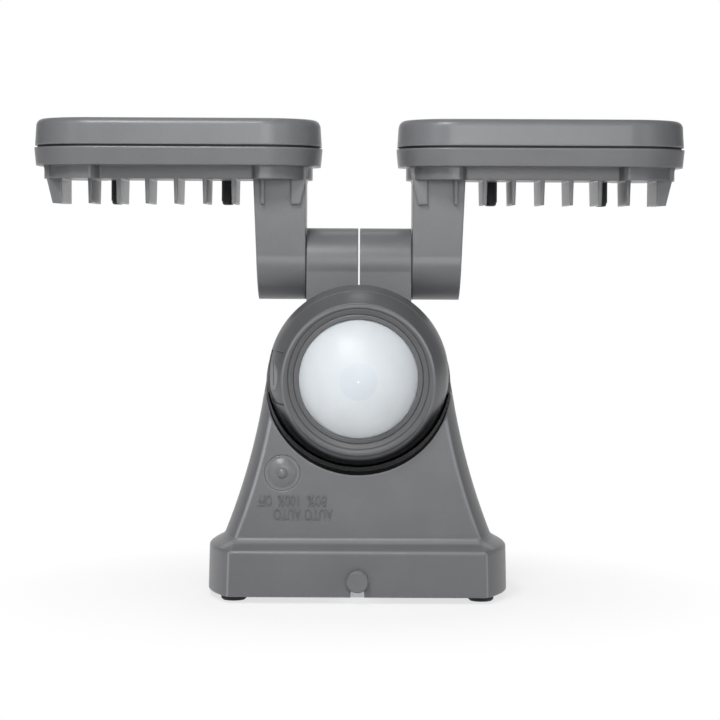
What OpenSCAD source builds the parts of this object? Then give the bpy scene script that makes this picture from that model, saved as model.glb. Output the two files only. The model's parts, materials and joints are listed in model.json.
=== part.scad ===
// Twin-head motion sensor security light, in millimetres.
// The origin lies on the mounting surface, under the centre of the round base.
// +Z leads away from that surface, and the sensor looks along -Y.

/* [Base] */
// Diameter of the round base at its lower edge
base_d = 119.2; // [112:0.2:126]
// Distance from the base centre to its flat front
base_front = 32; // [30:0.5:36]
// Height of the upright skirt of the base
skirt_h = 17.4; // [16.4:0.1:18.4]
// Inward draft of the skirt over its height
skirt_draft = 0.4; // [0.1:0.05:0.8]
// Height of the sloped shoulder above the skirt
shoulder_h = 4.4; // [3.6:0.1:5]
// Wall thickness of the moulded housing
wall = 2.6; // [2:0.1:3]
// Height of the rubber feet below the skirt
foot_h = 2.6; // [2.2:0.1:4]
// Diameter of a rubber foot
foot_d = 10; // [8:0.5:11]

/* [Tower] */
// Diameter of the flared tower at the foot of its flare
flare_foot_d = 102.8; // [102:0.2:104]
// Diameter of the tower half way up
flare_mid_d = 87.2; // [86.4:0.2:88]
// Diameter of the tower beside the sensor
flare_top_d = 74.8; // [74.4:0.2:76]
// Height of the foot of the flare above the skirt edge
flare_foot_z = 26; // [25:0.5:27]
// Height of the middle diameter
flare_mid_z = 50; // [49:0.5:51]
// Height of the upper diameter
flare_top_z = 79; // [78:0.5:80]
// Distance from the axis to the flat front face at the foot of the flare
tower_front = 23.6; // [23:0.1:24.4]
// Backward lean of the flat front face, in degrees
front_lean = 4.6; // [4:0.1:5.2]

/* [Sensor] */
// Diameter of the swivelling sensor ball
ball_d = 71.4; // [70.6:0.2:72]
// Distance of the ball centre ahead of the tower axis
ball_y = 9; // [8.7:0.1:9.4]
// Height of the ball centre above the skirt edge
ball_z = 85.2; // [84.6:0.1:85.8]
// Diameter of the round opening in the front face
window_d = 73.6; // [73.2:0.1:74.4]
// Drop of that opening's centre below the ball centre
window_drop = 1.8; // [1.2:0.1:2.2]
// Diameter of the milky lens
lens_d = 46.4; // [45:0.2:47]
// Height of the lens dome
lens_h = 12; // [9:0.1:12.6]
// Downward tilt of the ball as it stands, in degrees
ball_rest_tilt = 1.7; // [0:0.1:4]
// Diameter of the timer dial
dial_d = 11; // [9.5:0.1:11.6]

/* [Knuckles] */
// Height of the head pivots above the skirt edge
pivot_z = 128.8; // [128.2:0.1:131]
// Distance of the head pivots behind the tower axis
pivot_y = 22; // [21.6:0.1:23]
// Diameter of the knuckles
knuckle_d = 29; // [28:0.1:30]
// Width of one knuckle
knuckle_w = 20.8; // [20:0.1:21.6]
// Slit between the two knuckles
knuckle_slit = 0.65; // [0.4:0.05:1.2]
// Diameter of the pivot spigot on each arm
spigot_d = 12; // [11:0.1:13]

/* [Heads] */
// Length of a lamp head
head_l = 116.4; // [115:0.2:121]
// Depth of a lamp head
head_w = 58.4; // [57.4:0.2:61]
// Corner radius of a head seen from above
head_corner = 24; // [22:0.5:26]
// Distance of a head's middle from the tower axis
head_x = 73.3; // [73:0.1:75]
// Width of an arm at the pivot
arm_w = 19.7; // [19:0.1:20.4]
// Width of an arm where it meets the head
arm_top_w = 21.1; // [20.6:0.1:22]
// Rise of the arm from the pivot to the head
arm_rise = 33.9; // [33:0.1:38]
// Height of the cooling fins
fin_h = 9.9; // [7:0.1:10.8]
// Spacing of the cooling fins
fin_pitch = 11.5; // [10.8:0.1:11.8]
// Height of the plinth that carries the fins
plinth_h = 5.3; // [4.4:0.1:7]
// Height of the drafted flange
flange_h = 7.2; // [6.4:0.1:9]
// Height of the dark seam under the bezel
seam_h = 0.9; // [0.6:0.1:1.4]
// Height of the bezel
bezel_h = 10.6; // [9.6:0.1:13]
// Width of the bezel's rim round the lamp cover
rim_w = 11.2; // [10.8:0.1:13]

/* [Controls] */
// Diameter of the recess round the mode button
button_hole_d = 14; // [13:0.1:14.6]
// Distance of the button to the left of the middle
button_x = 29.6; // [29:0.1:30.4]
// Height of the button above the skirt edge
button_z = 47.4; // [46.6:0.1:48]
// Travel of the mode button
button_travel = 0.8; // [0.4:0.1:1]
// Diameter of the retaining screw's smooth head
knob_d = 8.7; // [7.6:0.1:9.4]
// Height of the retaining screw above the skirt edge
knob_z = 6.4; // [6:0.1:6.8]

/* [Wall bracket] */
// Spacing of the two bracket slots, middle to middle
slot_spacing = 79.4; // [77:0.2:81]
// Length of each slot
slot_l = 14; // [9:0.5:15]
// Width of each slot
slot_w = 4.8; // [4:0.1:5.4]
// Length of the bracket strap
strap_l = 102; // [100:1:103]
// Depth of the bracket strap
strap_w = 26; // [24:1:28]
// Thickness of the bracket's sheet steel
sheet_t = 1.6; // [1.3:0.1:1.8]

/* [Hidden] */
$fn = 96;

// Side of the light that a head stands on
LEFT = -1;
RIGHT = 1;

// Colours
plastic_grey = "#707174";
rubber_black = "#26272a";
board_green = "#2e5c3c";

// Overrun of every cut, and clearances shared by several pieces
over = 1;
slide_gap = 0.1;
seat_gap = 0.3;
running_gap = 0.05;

// Outline of the housing, as half widths about the tower axis
base_r = base_d / 2;
skirt_top_r = base_r - skirt_draft;
flare_foot_r = flare_foot_d / 2;
flare_mid_r = flare_mid_d / 2;
flare_top_r = flare_top_d / 2;
shoulder_round = 1.2;
shoulder_r = flare_foot_r + 1.4 * shoulder_round;
skirt_top_shares = [[0, -0.8], [-0.1, 0], [-0.55, 0.5], [-1.4, 1.1]];
shoulder_toe_shares = [[1.2, -1.2], [0.5, -0.6]];
flare_steps = 13;
inner_drop_share = 0.6;

// Centre of the circle through three points
function circle_centre(a, b, c) =
    let (d = 2 * (a.x * (b.y - c.y) + b.x * (c.y - a.y) + c.x * (a.y - b.y)),
        aa = a * a, bb = b * b, cc = c * c)
    [(aa * (b.y - c.y) + bb * (c.y - a.y) + cc * (a.y - b.y)) / d,
        (aa * (c.x - b.x) + bb * (a.x - c.x) + cc * (b.x - a.x)) / d];
flare_c = circle_centre([flare_foot_r, flare_foot_z], [flare_mid_r, flare_mid_z],
    [flare_top_r, flare_top_z]);
flare_r = norm(flare_c - [flare_mid_r, flare_mid_z]);
function flare_at(z) = flare_c.x - sqrt(flare_r * flare_r - (flare_c.y - z) * (flare_c.y - z));

// The hood behind the ball is a dome that the flare runs into
dome_drop = 3.2;
dome_z = ball_z - dome_drop;
dome_r = flare_at(dome_z);

// Flat front face of the tower, at a height above the skirt edge
function front_y(z) = -tower_front + (z - flare_foot_z) * tan(front_lean);

// Sensor ball, its socket and the opening round it
ball_r = ball_d / 2;
socket_gap = 0.9;
socket_r = ball_r + socket_gap;
cup_t = 1.8;
cup_r = socket_r + cup_t;
window_r = window_d / 2;
window_z = ball_z - window_drop;
hood_y = 1;
hood_z = 76.5;
hood_lean = 13;
cavity_top = 98;

// Bosses and ribs inside the housing
foot_x = base_r - 11.1;
foot_front_y = 12 - base_front;
foot_back_r = base_r - 6.4;
foot_back_angle = 44.2;
foot_plug_d = 4;
foot_plug_l = 5;
foot_chamfer = 0.7;
foot_boss_d = foot_d + 1.6;
foot_boss_h = 7.5;
cover_z = 11;
cover_t = 2.4;
cover_boss_r = base_r - 10.1;
cover_boss_d = 8;
cover_boss_h = 8;
cover_boss_angles = [-8, 62, 118, 188];
screw_d = 3;
screw_head_d = 5.6;
screw_head_h = 2;
screw_l = 8;
hook_w = 20;
hook_rib_t = 2;
hook_rib_h = 1.8;

// Knuckle lugs with their pivot hardware
knuckle_r = knuckle_d / 2;
knuckle_in = knuckle_slit / 2;
knuckle_out = knuckle_in + knuckle_w;
neck_half_share = 0.98;
neck_foot_back_y = 29;
neck_foot_z = 92;
slit_depth = knuckle_r * 0.66;
arm_gap = 0.4;
arm_in = knuckle_out + arm_gap;
spigot_r = spigot_d / 2;
spigot_l = 9;
spigot_bore_d = 6.4;
pocket_x = arm_in - spigot_l;
pocket_d = 19;
pocket_l = 9.5;
thread_d = 10;
thread_l = 5.6;
nut_d = 16.5;
nut_t = 3.2;
nut_flats = 6;
washer_d = 16;
washer_t = 1.1;
seal_d = 17;
seal_depth = 1.2;
wire_way_d = 4;
wire_way_top_y = pivot_y + 2;
wire_way_foot_y = 27.3;

// Sensor ball pieces, measured from the ball centre along its view
ball_wall = 2.2;
ball_inner_r = ball_r - ball_wall;
seam_a = 10.9;
seam_groove = 0.35;
face_a = 19.9;
rear_open_r = 22;
lens_seat_a = 18.2;
lens_r = lens_d / 2;
lens_t = 1.6;
lens_flange_w = 2;
lens_flange_t = 1.4;
lens_flange_in = 0.4;
lens_ledge = 1.2;
flange_back_a = lens_seat_a - lens_flange_t;
front_inner_r = 31;
seam_lip_t = 1.4;
ring_rise = 0.9;
ring_edge = 0.3;
face_dish = 1.3;
face_edge_w = 0.9;
boss_circle_r = 26;
boss_d = 6.2;
boss_angles = [90, 210, 330];
shell_screw_d = 2.4;
shell_screw_head_d = 4.4;
shell_screw_head_h = 1.6;
shell_screw_head_a = -14;
shell_screw_end_a = 14.5;
frame_a = 5;
frame_t = 2;
frame_r = 21;
frame_hole_r = 10.4;
ear_notch = 3.6;
frame_link_w = 5;
board_t = 1.6;
sensor_board_a = 9;
sensor_board_r = 18.5;
detector_d = 9.2;
detector_h = 4.6;
detector_brim = 0.5;
lead_notch_d = 6;
post_d = 3;
post_circle_r = 15.5;

// Swivel of the ball: a cross between the stem's fork and the frame's ears
pin_d = 3;
stem_d = 8;
stem_bore_d = 5;
stem_flange_d = 16;
stem_flange_t = 1.6;
stem_boss_d = 18;
stem_boss_y = 30.6;
fork_in = 6;
fork_t = 2.5;
fork_w = 8;
fork_block_w = 7.6;
fork_back = 9;
fork_web = 3;
ear_in = 10;
ear_t = 2.5;
ear_w = 7;
ear_block_w = 6.6;
pin_rest = 0.2;
cross_d = 7;

// Timer dial and its panel on the side of the ball
dial_yaw = 18;
panel_half_h = 10.3;
panel_half_w = 8.6;
panel_drop = 0.5;
panel_base_l = ball_r - 4.9;
dial_sink = 0.7;
dial_edge = 0.3;
dial_slot_share = 0.8;
dial_slot_w = 1.3;
dial_slot_h = 1;
dial_shaft_d = 3;
cup_floor_t = 0.9;
pot_d = 9;
pot_h = 4.6;

// Heights of the head, above the skirt edge
plinth_z = pivot_z + arm_rise;
fin_z = plinth_z - fin_h;
flange_z = plinth_z + plinth_h;
seam_z = flange_z + flange_h;
bezel_z = seam_z + seam_h;
head_top_z = bezel_z + bezel_h;

// Head shell, plinth and fins
flange_draft = 0.7;
floor_t = 2;
ledge_w = 6;
plinth_inset = 4;
recess_half_l = 32;
recess_depth = 6.6;
recess_chamfer = 1.6;
fin_count = 7;
fin_top_t = 1.85;
fin_tip_t = 1.25;
fin_half_l = 18.5;
end_fin_half_l = 16.5;
wedge_in = 45.9;
wedge_top_w = 7.4;
wedge_tip_w = 3.7;
wedge_half_l = 16;

// Bezel, lamp cover and what lies under it
bezel_inset = 0.3;
bezel_draft = 0.5;
bezel_round = 2.8;
lip_t = 1.8;
lamp_cover_t = 2.4;
lamp_cover_lap = 1.8;
gasket_inset = 1.3;
gasket_w = 2.4;
led_board_l = 78;
led_board_w = 30;
led_rows = 2;
led_columns = 5;
led_side = 5;
led_t = 1.3;
led_pitch_x = 14.5;
led_pitch_y = 13;
reflector_wall = 1.5;
reflector_slope = 2.6;

// Screws that hold the bezel, in black sleeves behind the fins
post_fin = 2;
post_gap = 0.6;
sleeve_d = 5.6;
sleeve_y = 22.6;
head_screw_d = 2.8;
head_screw_head_d = 5;
head_screw_head_h = 1.6;
sleeve_bore_d = 3.4;

// Button, screw and bracket
button_cap_share = 0.84;
button_nub_share = 0.3;
button_rise = 1.5;
button_nub_rise = 0.9;
button_ring_rise = 0.35;
button_flange_w = 0.4;
button_flange_t = 1.2;
button_stem_d = 3.2;
button_stem_l = 2;
switch_side = 6;
switch_h = 3.4;
switch_tip_d = 3;
switch_tip_h = 0.6;
switch_gap = 0.95;
switch_board_w = 8;
switch_board_h = 24;
switch_post_d = 4;
switch_post_drop = 10.4;
switch_post_pitch = 6;
switch_board_top = 4.6;
switch_depth = seat_gap + button_flange_t + button_stem_l + switch_gap + switch_tip_h + switch_h;
knob_t = 3;
knob_chamfer = 0.6;
shank_d = 4;
slot_flare = 0.5;
shank_slot_w = 4.6;
tab_w = 14;
tab_rise = 4.2;
tab_top = 13.2;
bracket_bend = 2;
hook_z = foot_h + hook_rib_h + slide_gap;
shank_l = wall + seat_gap + sheet_t + 3;
lead_hole_d = 14;

// Driver parts on the back cover
lead_hole_x = 20;
lead_hole_y = 32;
grommet_d = 14;
grommet_neck_d = 10;
grommet_bore_d = 6.5;
grommet_lip = 1.6;
board_l = 68;
board_w = 42;
board_y = 4;
board_post_d = 5;
board_stand = cover_z + cover_t + 3;
trafo_x = -14;
trafo_l = 22;
trafo_w = 20;
trafo_h = 17;
trafo_core_w = 4;
trafo_coil_h = 12;
capacitor_x = 16;
capacitor_d = 10;
capacitor_h = 16;
capacitor_pitch = 12;
terminal_l = 18;
terminal_w = 8;
terminal_h = 9;
terminal_y = 15;
terminal_ways = 3;
terminal_hole_d = 3.6;
terminal_well = 5;

module at_skirt() {
    translate([0, 0, foot_h]) children();
}

// Turns a depth-and-height outline into a bar across the light
module across(w) {
    translate([-w / 2, 0, 0]) rotate([90, 0, 90]) linear_extrude(height = w) children();
}

// Points of the rounded step from the skirt to the tower
function shoulder_points(outer, inner, drop) = [
    for (p = skirt_top_shares) [outer + p.x * shoulder_round, skirt_h - drop + p.y * shoulder_round],
    for (p = shoulder_toe_shares)
        [inner + p.x * shoulder_round, skirt_h - drop + shoulder_h + p.y * shoulder_round]];

// Half profile of the housing's outside, from the skirt edge to the top of the hood
module outer_profile(inset, foot) {
    drop = inset * inner_drop_share;
    toe_z = skirt_h + shoulder_h - drop;
    polygon(concat([[0, foot], [base_r - inset, foot]],
        shoulder_points(skirt_top_r - inset, shoulder_r - inset, drop),
        [for (i = [0 : flare_steps]) let (z = toe_z + (dome_z - toe_z) * i / flare_steps)
            [flare_at(z) - inset, z]],
        [[0, dome_z]]));
    intersection() {
        translate([0, dome_z]) circle(r = dome_r - inset, $fn = 180);
        translate([0, dome_z]) square([dome_r, dome_r]);
    }
}

// Side outline of the space behind the flat fronts
module front_outline(inset, foot) {
    drop = inset * inner_drop_share;
    toe = -front_y(skirt_h + shoulder_h) - inset;
    steps = shoulder_points(base_front - inset, toe, drop);
    polygon(concat([[base_r + over, foot], [-base_front + inset, foot]], [for (p = steps) [-p.x, p.y]],
        [[-toe, skirt_h + shoulder_h - drop], [front_y(pivot_z) + inset, pivot_z],
        [base_r + over, pivot_z]]));
}

// The housing's outer form, inset evenly and begun at a height
module tower_form(inset, foot) {
    intersection() {
        rotate_extrude() outer_profile(inset, foot);
        across(base_d + 2 * over) front_outline(inset, foot);
    }
}

module at_ball() {
    translate([0, -ball_y, ball_z]) children();
}

// Frame of the ball's pieces: +Z is its view, +Y is up
module ball_frame() {
    at_skirt() at_ball() rotate([90 + ball_rest_tilt, 0, 0]) children();
}

// Frame of the flat front face: +Z leads out of it, +Y leads up
module front_frame() {
    at_skirt() translate([-button_x, front_y(button_z), button_z]) rotate([90 - front_lean, 0, 0])
        children();
}

// One knuckle lug, drawn on the right
module knuckle_lug() {
    neck = knuckle_r * neck_half_share;
    translate([knuckle_in, 0, 0]) rotate([90, 0, 90]) linear_extrude(height = knuckle_w) {
        translate([pivot_y, pivot_z]) circle(r = knuckle_r);
        polygon([[pivot_y - neck, pivot_z], [pivot_y - neck, neck_foot_z],
            [neck_foot_back_y, neck_foot_z], [pivot_y + neck, pivot_z]]);
    }
}

// Cuts of one knuckle lug: pivot bore, seal seat, nut pocket and wire way
module knuckle_cuts() {
    translate([pocket_x - over, pivot_y, pivot_z]) rotate([0, 90, 0])
        cylinder(d = spigot_d + 2 * running_gap, h = spigot_l + 2 * over);
    translate([knuckle_out - seal_depth, pivot_y, pivot_z]) rotate([0, 90, 0])
        cylinder(d = seal_d + 2 * seat_gap, h = seal_depth + over);
    translate([pocket_x - pocket_l, pivot_y, pivot_z]) rotate([0, 90, 0])
        cylinder(d = pocket_d, h = pocket_l);
    lean = atan((wire_way_foot_y - wire_way_top_y) / (pivot_z - cavity_top));
    translate([pocket_x - pocket_l / 2, wire_way_top_y, pivot_z]) rotate([180 + lean, 0, 0])
        cylinder(d = wire_way_d, h = pivot_z - cavity_top + wall);
}

module both_sides() {
    children();
    mirror([1, 0, 0]) children();
}

module foot_places() {
    both_sides() {
        translate([foot_x, foot_front_y, 0]) children();
        rotate(foot_back_angle) translate([foot_back_r, 0, 0]) children();
    }
}

module cover_screw_places() {
    for (a = cover_boss_angles) rotate(a) translate([cover_boss_r, 0, 0]) children();
}

module switch_post_places() {
    for (k = [0, 1]) translate([0, -switch_post_drop - k * switch_post_pitch, 0]) children();
}

module housing() {
    color(plastic_grey) difference() {
        union() {
            at_skirt() difference() {
                tower_form(0, 0);
                translate([0, hood_y, hood_z]) rotate([-hood_lean, 0, 0])
                    translate([-base_r, -base_r, 0]) cube([base_d, base_r, base_r]);
                difference() {
                    tower_form(wall, -over);
                    at_ball() sphere(r = cup_r);
                    translate([0, -ball_y, window_z]) rotate([90, 0, 0])
                        cylinder(r = window_r + cup_t, h = base_r);
                    translate([-base_r, -base_r, cavity_top]) cube([base_d, base_d, base_r]);
                    foot_places() cylinder(d = foot_boss_d, h = foot_boss_h);
                    cover_screw_places() translate([0, 0, cover_z + cover_t])
                        cylinder(d = cover_boss_d, h = cover_boss_h);
                    at_ball() rotate([-90, 0, 0]) cylinder(d = stem_boss_d, h = stem_boss_y + ball_y);
                    translate([-hook_w / 2, base_r - wall - 2 * hook_rib_t, 0])
                        cube([hook_w, 2 * hook_rib_t, hook_rib_h]);
                }
            }
            at_skirt() both_sides() knuckle_lug();
            at_skirt() translate([-knuckle_in, pivot_y, neck_foot_z])
                cube([knuckle_slit, neck_foot_back_y - pivot_y, pivot_z - slit_depth - neck_foot_z]);
            front_frame() switch_post_places() translate([0, 0, -wall - switch_depth])
                cylinder(d = switch_post_d, h = switch_depth + wall / 2);
        }
        at_skirt() {
            at_ball() sphere(r = socket_r);
            translate([0, -ball_y, window_z]) rotate([90, 0, 0]) cylinder(r = window_r, h = base_r);
            at_ball() rotate([-90, 0, 0])
                cylinder(d = stem_d + 2 * running_gap, h = stem_boss_y + ball_y + over);
            both_sides() knuckle_cuts();
            foot_places() translate([0, 0, -over]) cylinder(d = foot_plug_d, h = foot_plug_l + over);
            cover_screw_places() translate([0, 0, cover_z])
                cylinder(d = screw_d, h = cover_t + screw_l);
            translate([0, -base_front + wall + over, knob_z]) rotate([90, 0, 0])
                cylinder(d = shank_slot_w, h = wall + 2 * over);
            translate([0, -base_front + wall + over, 0]) rotate([90, 0, 0])
                linear_extrude(height = wall + 2 * over)
                    polygon([[-shank_slot_w / 2 - slot_flare, -over], [shank_slot_w / 2 + slot_flare, -over],
                        [shank_slot_w / 2, knob_z], [-shank_slot_w / 2, knob_z]]);
        }
        front_frame() translate([0, 0, -wall - over]) cylinder(d = button_hole_d, h = wall + 2 * over);
    }
}

module back_cover() {
    post_h = board_stand - cover_z - cover_t;
    color(plastic_grey) at_skirt() difference() {
        union() {
            translate([0, 0, cover_z]) linear_extrude(height = cover_t) intersection() {
                circle(r = base_r - wall - seat_gap - skirt_draft, $fn = 180);
                translate([-base_r, -base_front + wall + seat_gap]) square([base_d, base_d]);
            }
            translate([0, 0, cover_z + cover_t]) board_post_places() cylinder(d = board_post_d, h = post_h);
        }
        translate([0, 0, cover_z - over]) {
            cover_screw_places() cylinder(d = screw_d + 2 * slide_gap, h = cover_t + 2 * over);
            translate([lead_hole_x, lead_hole_y, 0]) cylinder(d = grommet_neck_d, h = cover_t + 2 * over);
        }
    }
}

module board_post_places() {
    for (x = [-1, 1], y = [-1, 1])
        translate([x * (board_l / 2 - board_post_d), board_y + y * (board_w / 2 - board_post_d), 0]) children();
}

// A fastener with its head below and its shank rising, from the plane under its head
module screw(d, l, head_d, head_h) {
    cylinder(d = d, h = l);
    translate([0, 0, -head_h]) cylinder(d = head_d, h = head_h);
}

module cover_screws() {
    color("silver") at_skirt() cover_screw_places() translate([0, 0, cover_z])
        screw(screw_d - 2 * running_gap, cover_t + screw_l - over, screw_head_d, screw_head_h);
}

module lead_grommet() {
    color(rubber_black) at_skirt() translate([lead_hole_x, lead_hole_y, cover_z]) difference() {
        union() {
            cylinder(d = grommet_neck_d, h = cover_t);
            translate([0, 0, -grommet_lip]) cylinder(d = grommet_d, h = grommet_lip);
            translate([0, 0, cover_t]) cylinder(d = grommet_d, h = grommet_lip);
        }
        translate([0, 0, -grommet_lip - over])
            cylinder(d = grommet_bore_d, h = cover_t + 2 * grommet_lip + 2 * over);
    }
}

module wall_bracket() {
    front = -base_front + wall + seat_gap;
    back = base_r - wall - skirt_draft - seat_gap;
    half = strap_w / 2;
    color("gainsboro") difference() {
        union() {
            linear_extrude(height = sheet_t) intersection() {
                square([strap_l, strap_w], center = true);
                circle(r = base_r - wall - seat_gap - skirt_draft, $fn = 180);
            }
            across(tab_w) polygon([[-half, 0], [-half, sheet_t], [-half - bracket_bend, tab_rise + sheet_t],
                [front + sheet_t, tab_rise + sheet_t], [front + sheet_t, tab_top], [front, tab_top],
                [front, tab_rise], [-half - bracket_bend - sheet_t, tab_rise], [-half - sheet_t, 0]]);
            across(hook_w - 2 * hook_rib_t) polygon([[half, 0], [half + sheet_t, 0],
                [half + bracket_bend + sheet_t, hook_z], [back, hook_z], [back, hook_z + sheet_t],
                [half + bracket_bend, hook_z + sheet_t], [half, sheet_t]]);
        }
        translate([0, 0, -over]) {
            for (s = [-1, 1]) translate([s * slot_spacing / 2, 0, 0]) bracket_slot(sheet_t + 2 * over);
            cylinder(d = lead_hole_d, h = sheet_t + 2 * over);
        }
        at_skirt() translate([0, front + sheet_t + over, knob_z]) rotate([90, 0, 0])
            cylinder(d = shank_d + 2 * running_gap, h = sheet_t + 2 * over);
    }
}

// A slot for a wall screw, along the strap
module bracket_slot(h) {
    run = slot_l - slot_w;
    for (s = [-1, 1]) translate([s * run / 2, 0, 0]) cylinder(d = slot_w, h = h);
    translate([-run / 2, -slot_w / 2, 0]) cube([run, slot_w, h]);
}

module rubber_feet() {
    color(rubber_black) foot_places() {
        cylinder(d1 = foot_d - 2 * foot_chamfer, d2 = foot_d, h = foot_chamfer);
        translate([0, 0, foot_chamfer]) cylinder(d = foot_d, h = foot_h - foot_chamfer);
        cylinder(d = foot_plug_d - 2 * running_gap, h = foot_h + foot_plug_l - over);
    }
}

module retaining_screw() {
    color(plastic_grey) at_skirt() translate([0, -base_front, knob_z]) rotate([90, 0, 0]) {
        translate([0, 0, slide_gap]) cylinder(d = knob_d, h = knob_t - knob_chamfer);
        translate([0, 0, slide_gap + knob_t - knob_chamfer])
            cylinder(d1 = knob_d, d2 = knob_d - 2 * knob_chamfer, h = knob_chamfer);
        translate([0, 0, -shank_l]) cylinder(d = shank_d, h = shank_l + knob_t / 2);
    }
}

module driver_board() {
    color(board_green) at_skirt() translate([-board_l / 2, board_y - board_w / 2, board_stand])
        cube([board_l, board_w, board_t]);
}

module transformer() {
    at_skirt() translate([trafo_x, board_y, board_stand + board_t]) {
        color("dimgray") translate([-trafo_l / 2, -trafo_w / 2, 0]) difference() {
            cube([trafo_l, trafo_w, trafo_h]);
            translate([-over, -over, (trafo_h - trafo_coil_h) / 2])
                cube([trafo_l + 2 * over, trafo_core_w + over, trafo_coil_h]);
            translate([-over, trafo_w - trafo_core_w, (trafo_h - trafo_coil_h) / 2])
                cube([trafo_l + 2 * over, trafo_core_w + over, trafo_coil_h]);
        }
        color("gold") translate([0, 0, (trafo_h - trafo_coil_h) / 2])
            cylinder(d = trafo_w + trafo_core_w, h = trafo_coil_h);
    }
}

module capacitors() {
    color("midnightblue") at_skirt() for (y = [-1, 1])
        translate([capacitor_x, board_y + y * capacitor_pitch / 2, board_stand + board_t])
            cylinder(d = capacitor_d, h = capacitor_h);
}

module terminal_block() {
    color("forestgreen") at_skirt() translate([-terminal_l / 2, terminal_y, board_stand + board_t])
        difference() {
            cube([terminal_l, terminal_w, terminal_h]);
            for (i = [0 : terminal_ways - 1])
                translate([(i + 0.5) * terminal_l / terminal_ways, terminal_w / 2, terminal_h - terminal_well])
                    cylinder(d = terminal_hole_d, h = terminal_well + over);
        }
}

module mode_button() {
    cap_r = button_hole_d / 2 - slide_gap;
    dome_r = cap_r * button_cap_share;
    nub_r = cap_r * button_nub_share;
    dome_ball = (dome_r * dome_r + button_rise * button_rise) / (2 * button_rise);
    nub_ball = (nub_r * nub_r + button_nub_rise * button_nub_rise) / (2 * button_nub_rise);
    color("#6c6d70") front_frame() {
        translate([0, 0, -wall - seat_gap]) cylinder(r = cap_r, h = wall + seat_gap);
        translate([0, 0, -wall - seat_gap - button_flange_t])
            cylinder(r = cap_r + button_flange_w, h = button_flange_t);
        translate([0, 0, -wall - seat_gap - button_flange_t - button_stem_l])
            cylinder(d = button_stem_d, h = button_stem_l);
        rotate_extrude() intersection() {
            union() {
                translate([0, button_rise - dome_ball]) circle(r = dome_ball, $fn = 180);
                translate([0, button_rise + button_nub_rise - nub_ball]) circle(r = nub_ball, $fn = 180);
            }
            square([dome_r, button_rise + button_nub_rise + over]);
        }
    }
}

module mode_switch() {
    color("black") front_frame() translate([0, 0, -wall - switch_depth]) {
        translate([-switch_side / 2, -switch_side / 2, 0]) cube([switch_side, switch_side, switch_h]);
        translate([0, 0, switch_h]) cylinder(d = switch_tip_d, h = switch_tip_h);
    }
}

module switch_board() {
    color(board_green) front_frame()
        translate([-switch_board_w / 2, switch_board_top - switch_board_h, -wall - switch_depth - board_t])
            cube([switch_board_w, switch_board_h, board_t]);
}

// Round outline for the revolved ball pieces: a band of the ball shell between two depths
module shell_band(outer, inner, from_a, to_a) {
    difference() {
        intersection() {
            circle(r = outer, $fn = 180);
            translate([0, from_a]) square([outer, to_a - from_a]);
        }
        circle(r = inner, $fn = 180);
    }
}

module shell_boss_places() {
    for (a = boss_angles) rotate(a) translate([boss_circle_r, 0, 0]) children();
}

// Space of the dial panel in the side of the ball, grown by a clearance
module panel_space(gap) {
    rotate([0, 0, 180]) rotate([0, 90 - dial_yaw, 0])
        translate([-panel_half_w - gap, -panel_half_h - gap, panel_base_l - gap])
            cube([2 * (panel_half_w + gap), 2 * (panel_half_h + gap), ball_r]);
}

// Frame of the timer dial: +Z leads out of the ball's side
module dial_frame() {
    ball_frame() rotate([0, 0, 180]) rotate([0, 90 - dial_yaw, 0]) children();
}

module ball_front_shell() {
    pocket_r = lens_r + lens_flange_w + slide_gap;
    face_r = sqrt(ball_r * ball_r - face_a * face_a);
    color(plastic_grey) ball_frame() difference() {
        union() {
            rotate_extrude() difference() {
                intersection() {
                    circle(r = ball_r, $fn = 180);
                    translate([0, seam_a + seam_groove]) square([ball_r, face_a - seam_a - seam_groove]);
                }
                square([front_inner_r, flange_back_a - ball_wall]);
                square([lens_r - lens_ledge, ball_r]);
                translate([0, flange_back_a]) square([pocket_r, ball_r]);
                polygon([[0, face_a - face_dish], [pocket_r, face_a - face_dish],
                    [face_r - face_edge_w, face_a], [face_r - face_edge_w, ball_r], [0, ball_r]]);
            }
            translate([0, 0, frame_a + frame_t]) shell_boss_places()
                cylinder(d = boss_d, h = flange_back_a - ball_wall / 2 - frame_a - frame_t);
        }
        translate([0, 0, frame_a]) shell_boss_places()
            cylinder(d = shell_screw_d, h = shell_screw_end_a - frame_a + slide_gap);
        panel_space(slide_gap);
    }
}

module ball_rear_shell() {
    lip_r = front_inner_r - running_gap;
    color(plastic_grey) ball_frame() difference() {
        union() {
            rotate_extrude() {
                shell_band(ball_r, ball_inner_r, -ball_r, seam_a);
                intersection() {
                    circle(r = (ball_r + ball_inner_r) / 2, $fn = 180);
                    translate([lip_r - seam_lip_t, seam_a - seam_lip_t])
                        square([ball_r - lip_r + seam_lip_t, seam_lip_t]);
                }
                translate([lip_r - seam_lip_t, seam_a - seam_lip_t]) square([seam_lip_t, 2 * seam_lip_t]);
            }
            intersection() {
                translate([0, 0, -ball_r]) shell_boss_places() cylinder(d = boss_d, h = ball_r + frame_a);
                sphere(r = (ball_r + ball_inner_r) / 2);
            }
        }
        translate([0, 0, -ball_r - over]) cylinder(r = rear_open_r, h = ball_r);
        translate([0, 0, -ball_r]) shell_boss_places() {
            cylinder(d = shell_screw_head_d + 2 * slide_gap, h = ball_r + shell_screw_head_a);
            cylinder(d = shell_screw_d + 2 * slide_gap, h = ball_r + frame_a + over);
        }
        panel_space(slide_gap);
        rotate([0, 0, 180]) rotate([0, 90 - dial_yaw, 0]) translate([0, 0, panel_base_l - 2 * pot_h])
            cylinder(d = pot_d + 2 * seat_gap, h = 2 * pot_h + over);
    }
}

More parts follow.
